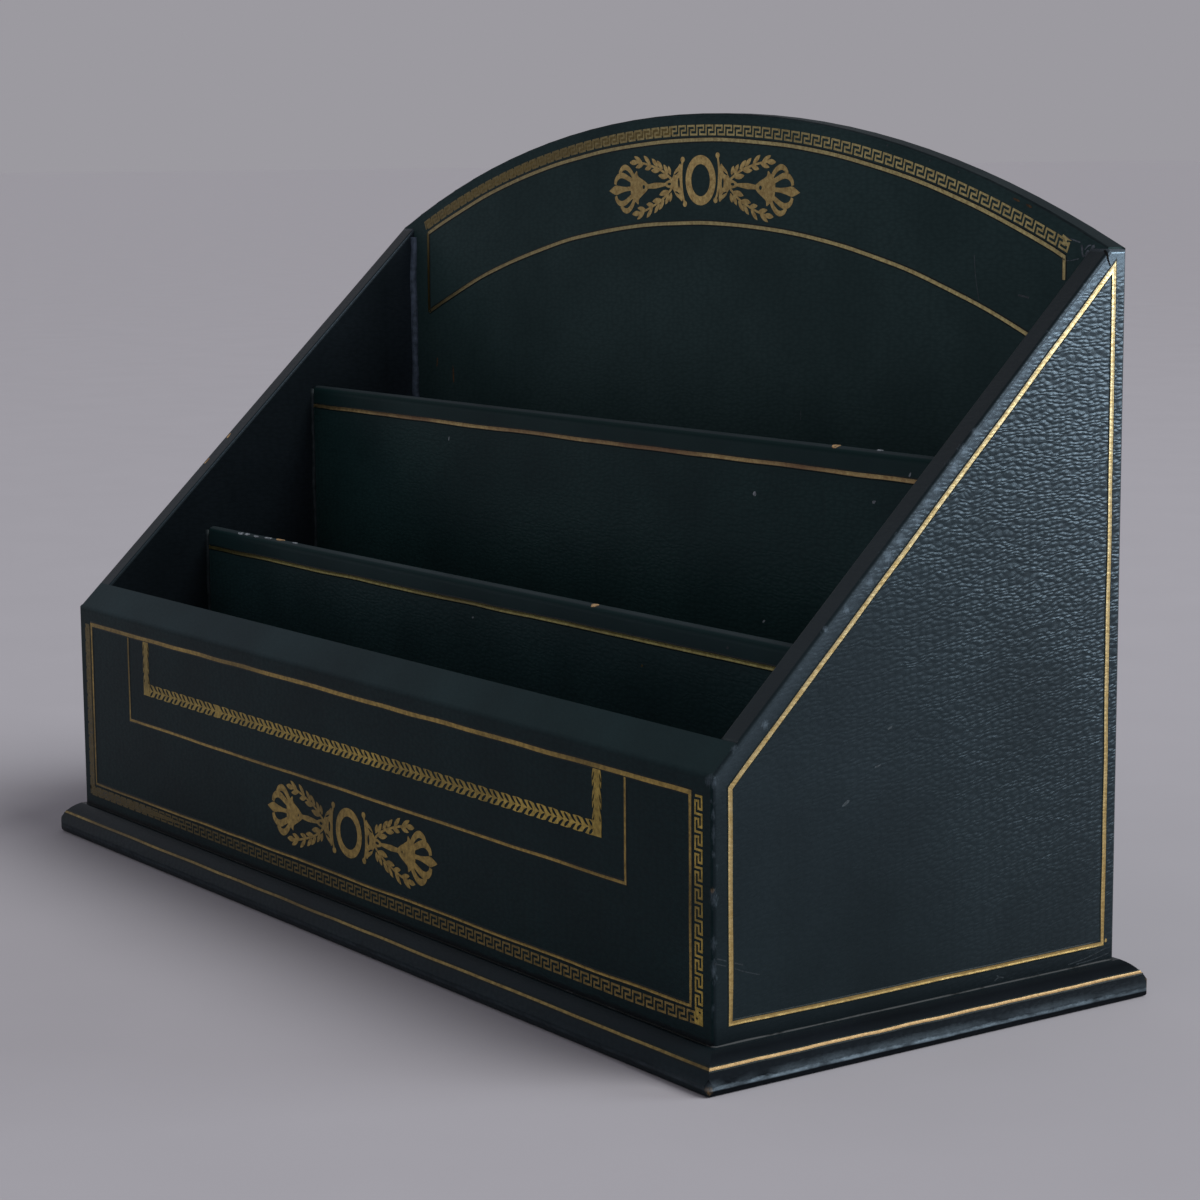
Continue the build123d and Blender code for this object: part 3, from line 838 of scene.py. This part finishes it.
def half_ornament(fat, bar_shift, eye):
    """The right half, with its axis along u. Returns shapes and holes."""
    shapes, holes = [], []
    bar = spline([(7.2, 5.4), (7.7, 3.6), (8.0, 1.5), (8.0, -1.5), (7.7, -3.6), (7.1, -5.2)])
    knobs = [disc(7.15, 5.7, 0.85, 0.75), disc(7.05, -5.5, 0.85, 0.75)]
    for outline in [band(bar, 0.75)] + knobs:
        shapes.append([p + Vector(bar_shift) for p in outline])
    calyx = [(7.9, 4.2), (9.4, 3.95), (10.7, 3.1), (11.3, 2.2), (12.2, 1.25), (13.6, 0.95), (15.0, 0.45)]
    shapes.append(symmetric(calyx))
    holes += [disc(9.2, 0.0, 0.42, 1.25), disc(13.3, 0.0, 0.75, 0.36, count=16)]
    holes += mirrored_pair(band(spline([(9.2, 2.9), (10.0, 2.45), (11.0, 2.15)], 5), [0.2, 0.45, 0.3]))
    stem = spline([(14.6, 0), (17, 0), (19.5, 0), (22, 0), (23.4, 0)], 5)
    shapes.append(band(stem, [0.6, 1.15, 1.5, 1.15, 1.2]))
    heart = [(22.6, 0.5), (24.0, 1.5), (25.6, 2.3), (26.9, 3.1), (27.2, 4.3), (28.1, 3.8), (29.2, 2.9),
             (30.2, 2.2)]
    shapes.append(symmetric(heart))
    holes.append(disc(24.5, 0.0, eye, count=14))
    shapes.append(symmetric([(28.5, 0.5), (32, 0.55), (34.5, 0.85), (36.8, 1.25), (38.3, 0.8), (39.9, 0.05)]))
    outer = spline([(28.6, 2.6), (29.8, 4.2), (31.2, 5.3), (32.6, 5.65), (34.0, 5.2), (34.9, 4.2)])
    inner = spline([(28.5, 1.4), (31.0, 2.6), (33.5, 3.6), (35.4, 3.5), (36.7, 2.6), (37.1, 1.5)])
    shapes += mirrored_pair(band(outer, [fat * w for w in (1.2, 1.25, 1.35, 1.4, 1.2, 1.0)]))
    shapes += mirrored_pair(band(inner, [fat * w for w in (1.2, 1.3, 1.45, 1.4, 1.2, 1.0)]))
    for outline in sprig():
        shapes += mirrored_pair(outline)
    return shapes, holes


def ornament(name, mat, place, middle, ring, hole, fat, eye, droop=0.0, shifts=((0, 0), (0, 0))):
    """Ring and two halves; each half's bar is a little off its place, as the tools were set by hand."""
    x, z = middle
    all_shapes, all_holes = [disc(x, z, ring, count=48)], [disc(x, z, *hole, count=40)]
    turn = Matrix.Rotation(-droop, 2)
    for sign, bar_shift in zip((1, -1), shifts):
        shapes, holes = half_ornament(fat, bar_shift, eye)
        for source, target in ((shapes, all_shapes), (holes, all_holes)):
            for outline in source:
                target.append([Vector((x + sign * p.x, z + p.y)) for p in (turn @ q for q in outline)])
    batch = Batch(name, mat)
    batch.plate(all_shapes, place, all_holes, top=0.045)
    batch.finish()


# Lines, key roll and leaf roll

KEY_HEIGHT = 2.18
KEY_STROKE = 0.5
KEY_PITCH = 3.8
LEAF_PITCH = 4.65
LEAF_HALF = 1.62


def rising(t, start, end):
    """0 before start, growing faster and faster to 1 at end."""
    return max(0.0, (t - start) / (end - start))**1.6


def key_roll(batch, start, direction, inward, length, place, drift=None):
    """The key pattern along a run, its upper side towards inward."""
    count = max(1, round(length / KEY_PITCH))
    start, direction, inward = Vector(start), Vector(direction), Vector(inward)
    path = []
    for i, p in enumerate(fret_path(count, length / count, KEY_HEIGHT)):
        off = 0.06 * noise.noise(Vector((i * 0.7, length, 3.0)))
        across = p.y + off + (drift(p.x) if drift else 0.0)
        path.append(start + direction * (p.x + off) + inward * across)
    ribbon(batch, path, KEY_STROKE, place)


def leaf_roll(batch, start, direction, length, half, depth, place, top=0.05):
    """Overlapping pairs of leaves, notched between and slit within. Depth is how far in the notches reach."""
    count = max(1, round(length / LEAF_PITCH))
    p = length / count
    start, direction = Vector(start), Vector(direction)
    side = Vector((-direction.y, direction.x))
    notch = band(spline([(-0.35, 1.85), (0.25, 1.15), (0.9, 0.55), (1.6, 0.06)], 3), [0.7, 0.85, 0.7, 0.2])
    slit = band(spline([(1.95, 1.48), (2.5, 0.98), (3.1, 0.5), (3.8, 0.06)], 3), [0.4, 0.8, 0.7, 0.2])
    lobe = [(-0.1, -0.05), (-0.1, 1.25), (0.6, 1.6), (1.6, 1.66), (2.9, 1.66), (4.0, 1.5), (p + 0.1, 1.25),
            (p + 0.1, -0.05)]
    shapes, cuts = [], []
    for i in range(count):
        at = start + direction * i * p
        faint = noise.noise(Vector((i * 0.37, 5.0 * depth, 1.0)))
        for turn in (1, -1):
            def put(outline, reach=1.0):
                spread = [(a, half - (half - b * half / LEAF_HALF) * reach) for a, b in outline]
                return [at + direction * a + side * turn * b for a, b in spread]
            shapes.append(put(lobe))
            cuts.append(put(notch, depth))
            if faint < 0.52:
                cuts.append(put(slit, min(1.0, depth * 1.05)))
    batch.plate(shapes, place, cuts, top)


def front_tooling():
    rolls = Batch("front_rolls", GOLD_DULL)
    foot = Batch("front_foot_roll", GOLD_FADED)
    smear = Batch("front_smears", GOLD_SMEAR)
    lines = Batch("front_lines", GOLD_FRONT, LIP_LEATHER)
    edge, low, high = 137.5, 15.05, 59.85
    tooled_line(lines, [(-edge, low), (100.0, low), (edge, low + 0.35), (edge, high), (-edge, high)], 1.0,
                on_front, 0.25, 1, closed=True,
                swell=lambda p: 0.6 if p.y < 16.0 else 1.0 if p.y > high - 1.0 else 0.8)
    panel, panel_low, panel_high = 115.0, 36.5, high - 0.62
    panel_line = [(-panel, panel_high), (-panel, panel_low), (panel, panel_low), (panel, panel_high)]
    tooled_line(lines, panel_line, 0.68, on_front, 0.2, 5)
    key_low, key_edge = 11.35 + KEY_STROKE / 2, 141.6 - KEY_STROKE / 2
    upright_low, upright_high = 15.3, 59.5
    upright = upright_high - upright_low
    key_roll(foot, (-key_edge, key_low), (1, 0), (0, 1), 2 * key_edge - 1.2, on_front,
             lambda u: 0.55 * rising(u, 250, 280))
    key_roll(rolls, (key_edge, upright_low), (0, 1), (-1, 0), upright, on_front)
    key_roll(foot, (-key_edge, upright_high), (0, -1), (1, 0), upright + 2.1, on_front)
    middle = key_low + KEY_HEIGHT / 2
    run = [Vector((u, middle)) for u in (-key_edge, -120.0, -106.0, -92.0, -80.0)]
    smear.plate([band(run, [2.0, 2.0, 1.6, 0.8, 0.1])], on_front, top=0.03)
    left = KEY_HEIGHT / 2 - key_edge + 0.3
    ribbon(smear, [Vector((left, 59.3)), Vector((left, middle + 1.1))], 2.5, on_front, top=0.03)
    corner = [(138.9, 12.1), (141.6, 11.9), (141.5, 15.6), (138.9, 15.4), (139.1, 14.6), (138.5, 14.3)]
    rolls.plate([corner], on_front, [[(139.2, 13.0), (139.9, 12.9), (140.0, 13.3), (139.3, 13.5)],
                                     [(140.1, 14.5), (140.9, 14.4), (141.0, 14.8), (140.2, 14.9)]], top=0.065)
    leaf_roll(rolls, (-104.6, 46.25), (1, 0), 209.2, LEAF_HALF, 0.92, on_front)
    tile = [(103.2, 44.65), (106.4, 44.65), (106.3, 48.1), (103.3, 48.0)]
    for sign in (-1, 1):
        leaf_roll(rolls, (sign * 104.75, 45.4), (0, 1), 13.9, 1.65, 0.42, on_front, top=0.06)
        rolls.plate([[(sign * u, v) for u, v in tile]], on_front, top=0.07)
    for batch in (rolls, foot, smear):
        batch.finish()
    lines.finish(smooth=True)


def dropping(drop):
    """The tooler's lines drop away from the arch's edge towards its right end."""
    return lambda u, v, h: on_arch(u, v + drop * rising(u, 41.0, 135.2), h)


def arch_tooling():
    rolls = Batch("arch_rolls", GOLD_ARCH)
    smear = Batch("arch_smear", GOLD_SMEAR)
    lines = Batch("arch_lines", GOLD_LINE_PALE, LIP_LEATHER)
    left_line = Batch("arch_left_line", GOLD_FADED, LIP_LEATHER)
    end, line, line_gap, key_above, drop = 131.0, 6.6, 20.8, 2.45, 0.75
    reach = math.asin(end / (RADIUS - line)) * ARCH_MEASURE
    upper, lower = dropping(drop), dropping(0.3)
    key_middle = line - key_above
    key_low = line - key_above + KEY_HEIGHT / 2
    key_roll(rolls, (-reach - 0.4, 0.0), (1, 0), (0, 1), 2 * reach + 0.9,
             lambda u, v, h: upper(u, key_low - v, h))
    end_tools = [
        [(130.4, 166.9), (131.7, 166.3), (132.4, 166.6), (131.9, 167.2), (131.2, 167.1), (130.6, 168.1)],
        [(130.2, 168.4), (131.0, 167.7), (133.3, 167.5), (131.8, 168.2), (130.6, 168.9)]]
    rolls.plate(end_tools, on_back_inner, top=0.065)
    faded = [Vector((-reach + (reach - 12.0) * i / 40, key_middle)) for i in range(41)]
    ribbon(smear, faded, 2.0, upper, top=0.03)
    tooled_line(lines, [(-reach, line), (reach + 0.6, line)], 0.85, upper, 0.2, 11)
    low = RADIUS - line - line_gap
    low_angle = math.asin(end / low)
    low_reach = low_angle * ARCH_MEASURE
    tooled_line(lines, [(-low_reach, line + line_gap), (low_reach, line + line_gap)], 0.85, lower, 0.2, 12)
    low_z = CENTRE_Z + low * math.cos(low_angle)
    for batch, sign, top_r, foot, width in ((left_line, -1, RADIUS - line, low_z, 0.95),
                                            (lines, 1, RADIUS - line - drop, 159.0, 0.85)):
        top_z = CENTRE_Z + math.sqrt(top_r**2 - end**2)
        tooled_line(batch, [(sign * end, top_z), (sign * end, foot)], width, on_back_inner, 0.15, 13 + sign)
    for batch in (rolls, smear):
        batch.finish()
    for batch in (lines, left_line):
        batch.finish(smooth=True)


def side_tooling():
    outline = [(4.35, 12.6), (108.75, 12.45), (108.65, 162.1), (4.35, 61.35)]
    for name, sign in (("right", 1), ("left", -1)):
        lines = Batch(f"side_line_{name}", GOLD, LIP_LEATHER)
        tooled_line(lines, outline, 1.05, on_side(sign), 0.2, 20 + sign, closed=True,
                    swell=lambda p: 0.85 if p.y < 20.0 else 1.0)
        lines.finish(smooth=True)


def divider_tooling():
    for (name, y, crest), mat in zip(DIVIDERS, (GOLD_OLIVE, GOLD_RUDDY)):
        lines = Batch(f"{name}_divider_line", mat, LIP_LEATHER)
        z = crest - 5.6
        tooled_line(lines, [(-SIDE_CLEAR, z), (SIDE_CLEAR, z)], 0.9, on_divider(y), 0.2, 30 + y)
        lines.finish(smooth=True)


def plinth_line_at(height):
    """How far down the rounded face the plinth's gilt line lies."""
    p = 0.0
    while ovolo(p, 0.0)[1] > height:
        p += 0.02
    return p


def plinth_tooling():
    at = plinth_line_at(5.6)
    for side, mat, steps, width in (("front", GOLD_PLINTH, 70, 0.6), ("right", GOLD_ENDS, 30, 0.62),
                                    ("left", GOLD_ENDS, 30, 0.62), ("back", GOLD_PLINTH, 70, 0.6)):
        place = on_plinth(side)
        verts = []
        for i in range(steps + 1):
            u = 2 * i / steps - 1
            shift = 0.15 * noise.noise(Vector((u * 9.0, 3.3, steps * 0.7))) * (1 - abs(u)**8)
            verts += [place(u, at + share * width / 2 + extra + shift, h) for share, extra, h in LINE_SECTION]
        lines = Batch(f"plinth_line_{side}", mat, LIP_LEATHER)
        add_line(lines, verts)
        lines.finish(smooth=True)


# Seams

def bead(batch, points, wall_ways, floor_ways, size, seed, closed=False):
    """A thin uneven ridge of leather that fills an inside corner."""
    verts = []
    for i, (p, a, b) in enumerate(zip(points, wall_ways, floor_ways)):
        s = size * (1 + 0.5 * noise.noise(Vector((i * 0.31, seed * 5.7, 2.0))))
        t = size * (1 + 0.5 * noise.noise(Vector((i * 0.27, seed * 3.9, 9.0))))
        verts += [p - (a + b) * 0.05, p + a * s - b * 0.02, p + (a * s + b * t) * 0.42, p + b * t - a * 0.02]
    batch.add(verts, tube_faces(len(points), 4, closed))


def foot_seam():
    """The edge of the wall leather where it meets the plinth, all round."""
    points, out = [], []
    turns = ((1, -1, -90), (1, 1, 0), (-1, 1, 90), (-1, -1, 180))
    centres = [Vector((x * (HALF - CASE_ROUND), y * (BACK - CASE_ROUND), PLINTH_TOP)) for x, y, _ in turns]
    for i, (_, _, turn) in enumerate(turns):
        for k in range(6):
            angle = math.radians(turn + 18 * k)
            way = Vector((math.cos(angle), math.sin(angle), 0))
            points.append(centres[i] + way * CASE_ROUND)
            out.append(way)
        start = points[-1]
        end = centres[(i + 1) % 4] + out[-1] * CASE_ROUND
        steps = round((end - start).length / 2.5)
        for k in range(1, steps):
            points.append(start.lerp(end, k / steps))
            out.append(out[-1])
    batch = Batch("foot_seam", SEAM)
    bead(batch, points, [Vector((0, 0, 1))] * len(points), out, 0.3, 1, closed=True)
    batch.finish(smooth=True)


def joint_seams():
    """The turned ends of the divider and back leather against the side linings, pale partly as a painted
    highlight.
    """
    # Both bead colours are paler than the leather, partly a painted highlight along the turned ends.
    dividers = Batch("divider_joint_seams", TURNED_EDGE)
    back = Batch("back_joint_seams", BACK_SEAM)
    runs = [(dividers, y, crest - 0.8, 0.7) for _, y, crest in DIVIDERS]
    runs.append((back, BACK_INNER, CORNER - 2.4, 1.35))
    low = 10.0
    for k, (batch, y, high, size) in enumerate(runs):
        count = round((high - low) / 3)
        heights = [low + (high - low) * i / count for i in range(count + 1)]
        for sign in (-1, 1):
            points = [Vector((sign * SIDE_CLEAR, y, z)) for z in heights]
            wall_ways, floor_ways = [Vector((-sign, 0, 0))] * len(points), [Vector((0, -1, 0))] * len(points)
            bead(batch, points, wall_ways, floor_ways, size, 10 + k + sign)
    for batch in (dividers, back):
        batch.finish(smooth=True)


# Scuffs, scratches and other small marks

def fleck_outline(u, v, length, width, angle, seed):
    """A small uneven patch."""
    turn = Matrix.Rotation(angle, 2)
    out = []
    for i in range(11):
        a = 2 * math.pi * i / 11
        r = 1 + 0.45 * noise.noise(Vector((math.cos(a) * 1.3 + seed * 3.3, math.sin(a) * 1.3, seed * 1.7)))
        reach = Vector((math.cos(a) * length / 2 * r, math.sin(a) * width / 2 * r))
        out.append(Vector((u, v)) + turn @ reach)
    return out


def flecks(name, mats, place, places, top=0.035):
    """places: u, v, length, width, angle in degrees and material number."""
    batch = Batch(name, *mats)
    for seed, (u, v, length, width, angle, mat) in enumerate(places):
        batch.plate([fleck_outline(u, v, length, width, math.radians(angle), seed)], place, top=top, mat=mat)
    batch.finish()


def scratches(name, mat, place, runs, top=0.02, steps=3):
    """runs: width and the points of a smooth line."""
    batch = Batch(name, mat)
    for width, *points in runs:
        ribbon(batch, spline(points, steps), width, place, top)
    batch.finish()


def small_marks():
    (_, front_y, front_crest), (_, rear_y, rear_crest) = DIVIDERS
    flecks("front_divider_flecks", [SCUFF, BARE], on_crest(front_y, front_crest),
           [(-121.1, 1.0, 3.0, 0.7, 4, 0), (-117.9, 1.2, 2.4, 0.8, -3, 0), (-112.6, 1.0, 2.6, 0.6, 2, 0),
            (-106.2, 1.4, 3.4, 0.8, 3, 0), (-100.1, 1.8, 4.4, 1.1, 2, 1), (-91.9, 1.6, 3.2, 0.8, -2, 0),
            (49.5, 1.2, 2.4, 1.2, 8, 1)], 0.13)
    flecks("rear_divider_flecks", [SCUFF, BARE], on_crest(rear_y, rear_crest),
           [(94.0, 1.4, 2.4, 1.5, 4, 1), (108.5, 1.8, 1.7, 0.8, 0, 0)], 0.15)
    flecks("rear_divider_marks", [SCUFF], on_divider(rear_y),
           [(66.3, 108.8, 1.3, 1.0, 20, 0), (108.7, 110.7, 1.2, 0.7, 10, 0), (120.7, 117.7, 1.2, 0.6, 60, 0),
            (69.7, 79.3, 1.1, 0.5, 30, 0), (-66.1, 112.1, 1.3, 0.4, 70, 0)])
    flecks("front_divider_marks", [SCRATCH, GOLD_SMEAR, SCUFF], on_divider(front_y),
           [(101.3, 80.7, 0.9, 0.6, 20, 0), (69.6, 72.5, 0.8, 0.6, 0, 1), (-1.0, 74.9, 0.8, 0.5, 10, 2)])
    flecks("side_marks", [SCRATCH, GOLD], on_side(1),
           [(34.6, 54.3, 2.4, 0.6, 30, 0), (46.3, 68.7, 1.6, 0.45, 20, 0), (43.0, 61.0, 1.8, 0.4, 15, 0),
            (109.9, 13.0, 0.7, 0.9, 0, 1)])
    scratches("side_scratches", FAINT_SCRATCH, on_side(1),
              [(0.3, (0.9, 26.7), (2.2, 26.3), (3.4, 25.8)), (0.3, (5.4, 25.1), (6.6, 24.7), (7.6, 24.35)),
               (0.22, (0.3, 25.8), (1.8, 25.3), (3.3, 24.8)), (0.2, (5.5, 23.9), (8.5, 22.7), (11.9, 21.6)),
               (0.22, (98.5, 9.3), (104.0, 9.9), (110.2, 11.3)),
               (0.25, (101.0, 9.0), (106.5, 9.3), (111.0, 10.0)),
               (0.2, (104.0, 11.6), (106.5, 11.5), (109.0, 12.0)),
               (0.3, (76.6, 9.3), (77.8, 9.9), (79.3, 9.6)), (0.25, (77.2, 10.4), (78.0, 10.0))])
    scratches("back_panel_scratches", SCRATCH, on_back_inner,
              [(0.2, (102.0, 163.8), (102.3, 160.4), (102.9, 157.0), (103.7, 153.7)),
               (0.22, (39.9, 124.4), (40.0, 123.2), (39.9, 122.2)),
               (0.4, (116.5, 155.2), (118.4, 155.0), (120.0, 154.7))])
    flecks("back_panel_flecks", [SCUFF, STROKE, SCRATCH], on_back_inner,
           [(-127.2, 128.0, 3.0, 0.5, 80, 1), (-118.6, 124.6, 5.2, 0.7, 91, 1),
            (136.5, 159.2, 0.9, 0.6, 30, 0), (71.8, 188.5, 0.7, 0.4, 20, 2), (86.7, 184.9, 0.6, 0.4, 40, 2),
            (96.5, 182.3, 0.7, 0.4, 10, 2), (115.6, 176.2, 2.3, 0.5, -19, 1),
            (119.7, 174.9, 1.9, 0.6, -20, 1)])
    flecks("left_rim_flecks", [BARE], on_rim(-1),
           [(-1.2, -9.0, 1.0, 1.3, 20, 0), (-1.4, -16.0, 0.9, 1.6, 0, 0)])
    scratches("rim_seam", TURNED_EDGE, on_rim(1), [(0.3, (-2.7, -49.6), (0.0, -49.5), (2.4, -49.5))], 0.03)


def pieced_corner():
    """Where the cover was pieced and cracked at the right end of the arch."""
    scratches("patch_lines", PATCH_EDGE, on_back_inner,
              [(0.3, (131.2, 168.3), (133.0, 167.9), (135.9, 167.2)),
               (0.5, (136.2, 166.7), (136.5, 165.8), (136.7, 164.4), (137.9, 164.35)),
               (0.65, (137.6, 164.6), (138.2, 165.3), (138.9, 165.1), (139.6, 166.2), (140.3, 166.6)),
               (0.3, (137.2, 165.6), (138.3, 166.5), (139.2, 166.7)),
               (0.16, (131.5, 163.2), (133.4, 163.3), (135.5, 163.7))], top=0.06, steps=4)
    crack = Batch("corner_crack", CRACK)
    way = spline([(50.9, -0.5), (50.55, 0.3), (50.25, 0.9), (49.85, 1.55), (49.65, 2.3), (49.45, 3.2)], 4)
    crack.plate([band(way, [0.35, 0.42, 0.42, 0.35, 0.28, 0.18])], over_slope_edge)
    crack.finish()


ornament("front_ornament", GOLD_FRONT, on_front, middle=(0.9, 26.3), ring=6.1, hole=(4.05, 4.05), fat=1.22,
         eye=0.3)
ornament("arch_ornament", GOLD_PALE, on_back_inner, middle=(-0.4, 180.3), ring=6.3, hole=(3.9, 4.05), fat=1.0,
         eye=0.55, droop=math.radians(4.2), shifts=((-0.5, 1.0), (0, 0)))
front_tooling()
arch_tooling()
side_tooling()
divider_tooling()
plinth_tooling()
foot_seam()
joint_seams()
small_marks()
pieced_corner()


# Stage and lights, in metres

FLOOR_HALF = 40.0
PAPER = ((169, 167, 172), (174, 172, 177))
SKY = (156, 154, 160)
SUN_STRENGTH = 1.9
SUN_SPREAD = math.radians(35)
SUN_PLACE = (0.75, 0.45, 1.0)
WINDOW_WATTS = 26.0
WINDOW_SIZE = (1.1, 0.7)
WINDOW_COLOUR = (0.88, 0.95, 1.0)
WINDOW_PLACE = (1.5, 1.9, 0.55)
WINDOW_TARGET = (0.1, 0.0, 0.1)


def stage():
    s = Shade("floor_paper")
    s.set(Base_Color=s.mix(s.noise(s.place, 0.02, 3.0), *PAPER), Roughness=0.9, Specular_IOR_Level=0.1)
    bpy.ops.mesh.primitive_plane_add(size=2 * FLOOR_HALF, location=(0, 0, 0))
    floor = bpy.context.object
    floor.name = "floor"
    floor.data.materials.append(s.mat)


def aim(name, lamp, place, target):
    obj = bpy.data.objects.new(name, lamp)
    obj.location = place
    obj.rotation_euler = (Vector(target) - Vector(place)).to_track_quat("-Z", "Y").to_euler()
    bpy.context.scene.collection.objects.link(obj)


def lights():
    world = bpy.data.worlds.new("studio")
    bpy.context.scene.world = world
    world.use_nodes = True
    back = world.node_tree.nodes["Background"]
    back.inputs["Color"].default_value = srgb(*SKY)
    back.inputs["Strength"].default_value = 1.0
    sun = bpy.data.lights.new("overhead", "SUN")
    sun.energy = SUN_STRENGTH
    sun.angle = SUN_SPREAD
    aim("overhead", sun, SUN_PLACE, (0, 0, 0))
    window = bpy.data.lights.new("window", "AREA")
    window.shape = "RECTANGLE"
    window.size, window.size_y = WINDOW_SIZE
    window.energy = WINDOW_WATTS
    window.color = WINDOW_COLOUR
    aim("window", window, WINDOW_PLACE, WINDOW_TARGET)


# The photograph's viewpoint, solved from the straight and arched edges: pixels, degrees and millimetres

PHOTO_WIDTH = 1200
PHOTO_CENTRE = (596.0, 619.0)
FOCAL_LENGTH = 2975.8
AZIMUTH, ELEVATION, ROLL = 54.926, 8.853, -0.474
CAMERA_PLACE = (607.1, -408.8, 186.7)
SENSOR = 36.0


def camera():
    azimuth, elevation, roll = (math.radians(angle) for angle in (AZIMUTH, ELEVATION, ROLL))
    forward = Vector((-math.sin(azimuth) * math.cos(elevation), math.cos(azimuth) * math.cos(elevation),
                      -math.sin(elevation)))
    level = Vector((math.cos(azimuth), math.sin(azimuth), 0))
    upright = level.cross(forward)
    right = level * math.cos(roll) + upright * math.sin(roll)
    up = upright * math.cos(roll) - level * math.sin(roll)
    data = bpy.data.cameras.new("photo_camera")
    data.sensor_width = SENSOR
    data.lens = FOCAL_LENGTH * SENSOR / PHOTO_WIDTH
    data.shift_x = (PHOTO_WIDTH / 2 - PHOTO_CENTRE[0]) / PHOTO_WIDTH
    data.shift_y = (PHOTO_CENTRE[1] - PHOTO_WIDTH / 2) / PHOTO_WIDTH
    obj = bpy.data.objects.new("photo_camera", data)
    matrix = Matrix((right, up, -forward)).transposed().to_4x4()
    matrix.translation = Vector(CAMERA_PLACE) * MM
    obj.matrix_world = matrix
    bpy.context.scene.collection.objects.link(obj)
    bpy.context.scene.camera = obj


stage()
lights()
camera()
bpy.context.scene.view_settings.view_transform = "Standard"
